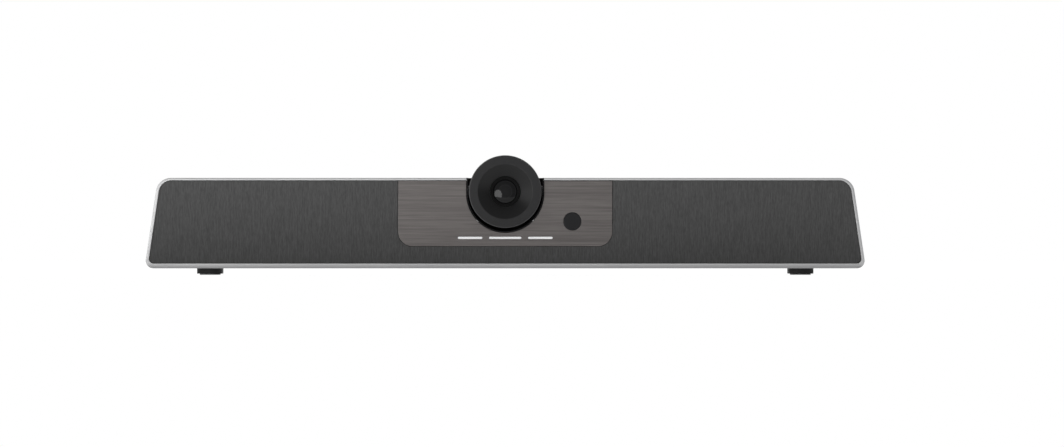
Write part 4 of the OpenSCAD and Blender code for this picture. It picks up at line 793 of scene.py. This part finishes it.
# The screws of the back, the head's cap and the tray
cover_spots = [(side * x, BACK_Y - CLEAR, z)
               for x in COVER_SCREW_X for side in (-1, 1) for z in COVER_SCREW_Z]
cross_screws("cover_screws", cover_spots, outward=(0, 1, 0), head_r=2.8, head_t=1.4, shank_r=1.4, length=11.6,
             body="housing", stands_for=["rear_cover_screws"])
cap_spots = [(CAP_SCREW_R * math.cos(t), CAP_SCREW_Y, HEAD_Z + CAP_SCREW_R * math.sin(t))
             for t in np.radians(CAP_SCREW_ANGLES)]
cross_screws("cap_screws", cap_spots, outward=(0, 1, 0), head_r=2.2, head_t=1.4, shank_r=1.2, length=11.2,
             body="head", stands_for=["head_cap_screws"])
tray_spots = [(x, y, BAR_Z0 + CLEAR) for x, y in TRAY_SCREWS]
cross_screws("chassis_screws", tray_spots, outward=(0, 0, -1), head_r=2.8, head_t=1.6, shank_r=1.4,
             length=6.3, body="housing", stands_for=["tray_screws"])

# The sensor's flat cable bends where it crosses from the head to the cradle's slot
cable = make("sensor_flex", *flat_cable(CABLE_ROUTE, CABLE_W, CABLE_T, CABLE_BEND), None, "flex_amber",
             ["camera_flex"])
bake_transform(cable)

contacts("screen_contacts", x_mid=-22.0, count=10, pitch=1.0, width=0.45, tongue=(20.8, 22.2), y_back=34.0,
         y_front=41.2)
contacts("data_contacts", x_mid=2.0, count=12, pitch=0.5, width=0.25, tongue=(19.9, 20.6), y_back=35.0,
         y_front=42.6)


# Floor, light and camera, in metres


def looking(tree):
    """A tree's light path, and a value that is 1 for the rays that look at a backdrop: the camera's own,
    and those that a gloss or a glass sends on."""
    path = add(tree, "ShaderNodeLightPath").outputs
    seen = path["Is Camera Ray"]
    for kind in ("Is Glossy Ray", "Is Transmission Ray"):
        seen = add(tree, "ShaderNodeMath", {0: seen, 1: path[kind]}, operation="MAXIMUM").outputs[0]
    return path, seen


# Painted board, matt white. Rays that look at it see 0.38 of the board, which keeps the object's shadow,
# with 0.62 of plain white and a glow of 0.2 added; for all other rays it is the board alone.
WHITE_SHARE, FLOOR_GLOW = 0.62, 0.2
floor_finish, tree, shader, place = finish("painted_board_white", "#f4f4f4", 0.9, Specular_IOR_Level=0.0)
surface = shader.outputs[0].links[0].to_socket
tint(tree, shader, grain(tree, place, 300, 2), "#f2f2f2", "#f6f6f6")
_, seen = looking(tree)
share = add(tree, "ShaderNodeMath", {0: seen, 1: WHITE_SHARE}, operation="MULTIPLY").outputs[0]
white = add(tree, "ShaderNodeEmission", {"Color": (1, 1, 1, 1), "Strength": 1.0})
both = add(tree, "ShaderNodeMixShader", {0: share, 1: shader.outputs[0], 2: white.outputs[0]})
strength = add(tree, "ShaderNodeMapRange", {"Value": seen, "To Max": FLOOR_GLOW}).outputs[0]
glow = add(tree, "ShaderNodeEmission", {"Color": (1, 1, 1, 1), "Strength": strength})
total = add(tree, "ShaderNodeAddShader", {0: both.outputs[0], 1: glow.outputs[0]})
tree.links.new(total.outputs[0], surface)

# The floor starts a little before the object and lies 0.2 mm under its feet
FLOOR_X, FLOOR_Y0, FLOOR_Y1, FLOOR_Z = 3, -0.2, 4, -0.0002
ground = bpy.data.meshes.new("floor")
ground.from_pydata([(-FLOOR_X, FLOOR_Y0, FLOOR_Z), (FLOOR_X, FLOOR_Y0, FLOOR_Z), (FLOOR_X, FLOOR_Y1, FLOOR_Z),
                    (-FLOOR_X, FLOOR_Y1, FLOOR_Z)], [], [(0, 1, 2, 3)])
floor = bpy.data.objects.new("floor", ground)
ground.materials.append(floor_finish)
bpy.context.scene.collection.objects.link(floor)

world = bpy.data.worlds.new("studio")
bpy.context.scene.world = world
world.use_nodes = True
sky = world.node_tree
sky.nodes.clear()
rays, looks = looking(sky)
# The room is white behind the object and darker in front of it, so that front faces keep their depth. It
# lights the object at 0.95 of what gloss and glass see, and the camera itself sees plain white.
ROOM_DARK, ROOM_LIGHT, DARK_TO, WHITE_FROM = 0.4, 0.95, -0.45, 0.25
way = add(sky, "ShaderNodeSeparateXYZ", {0: add(sky, "ShaderNodeTexCoord").outputs["Generated"]})
fade = {"Value": way.outputs[1], "From Min": DARK_TO, "From Max": WHITE_FROM, "To Min": ROOM_DARK}
room = add(sky, "ShaderNodeMapRange", fade, interpolation_type="SMOOTHSTEP").outputs[0]
lit = add(sky, "ShaderNodeMapRange", {"Value": looks, "To Min": ROOM_LIGHT}).outputs[0]
level = add(sky, "ShaderNodeMath", {0: room, 1: lit}, operation="MULTIPLY").outputs[0]
level = add(sky, "ShaderNodeMath", {0: level, 1: rays["Is Camera Ray"]}, operation="MAXIMUM").outputs[0]
back = add(sky, "ShaderNodeBackground", {"Color": (1, 1, 1, 1), "Strength": level})
add(sky, "ShaderNodeOutputWorld", {"Surface": back.outputs[0]})


def lamp(name, place, target, size, strength):
    """A soft oval lamp that faces a point; its strength is the radiance of its face."""
    light = bpy.data.lights.new(name, "AREA")
    light.shape, light.size, light.size_y = "ELLIPSE", size[0], size[1]
    area = math.pi * size[0] * size[1] / 4
    light.energy = strength * area * math.pi
    holder = bpy.data.objects.new(name, light)
    holder.location = place
    holder.rotation_euler = (Vector(target) - Vector(place)).to_track_quat("-Z", "Y").to_euler()
    bpy.context.scene.collection.objects.link(holder)


# The key stands low in front, to the left; the other lamp stands at the left end
lamp("key_front_left", (-1.1, -2.0, -0.4), (0, 0, 0.05), size=(1.25, 1.6), strength=5.9)
lamp("side_left", (-1.45, -0.5, 0.1), (0, 0, 0.06), size=(1.2, 1.5), strength=1.2)

# The camera stands 12 m before the bar's front, where its frame is 0.9768 m wide
SENSOR_W, DISTANCE, FRAME_W = 36.0, 12.0, 0.9768
EYE_X, EYE_Z = 0.0246, 0.0471
eye = bpy.data.cameras.new("eye")
eye.sensor_width, eye.lens = SENSOR_W, SENSOR_W * DISTANCE / FRAME_W
eye.clip_start, eye.clip_end = 0.1, 60.0
camera = bpy.data.objects.new("eye", eye)
camera.location = (EYE_X, FRONT_Y * MM - DISTANCE, EYE_Z)
camera.rotation_euler = (math.pi / 2, 0, 0)
bpy.context.scene.collection.objects.link(camera)
bpy.context.scene.camera = camera
bpy.context.scene.view_settings.view_transform = "Standard"
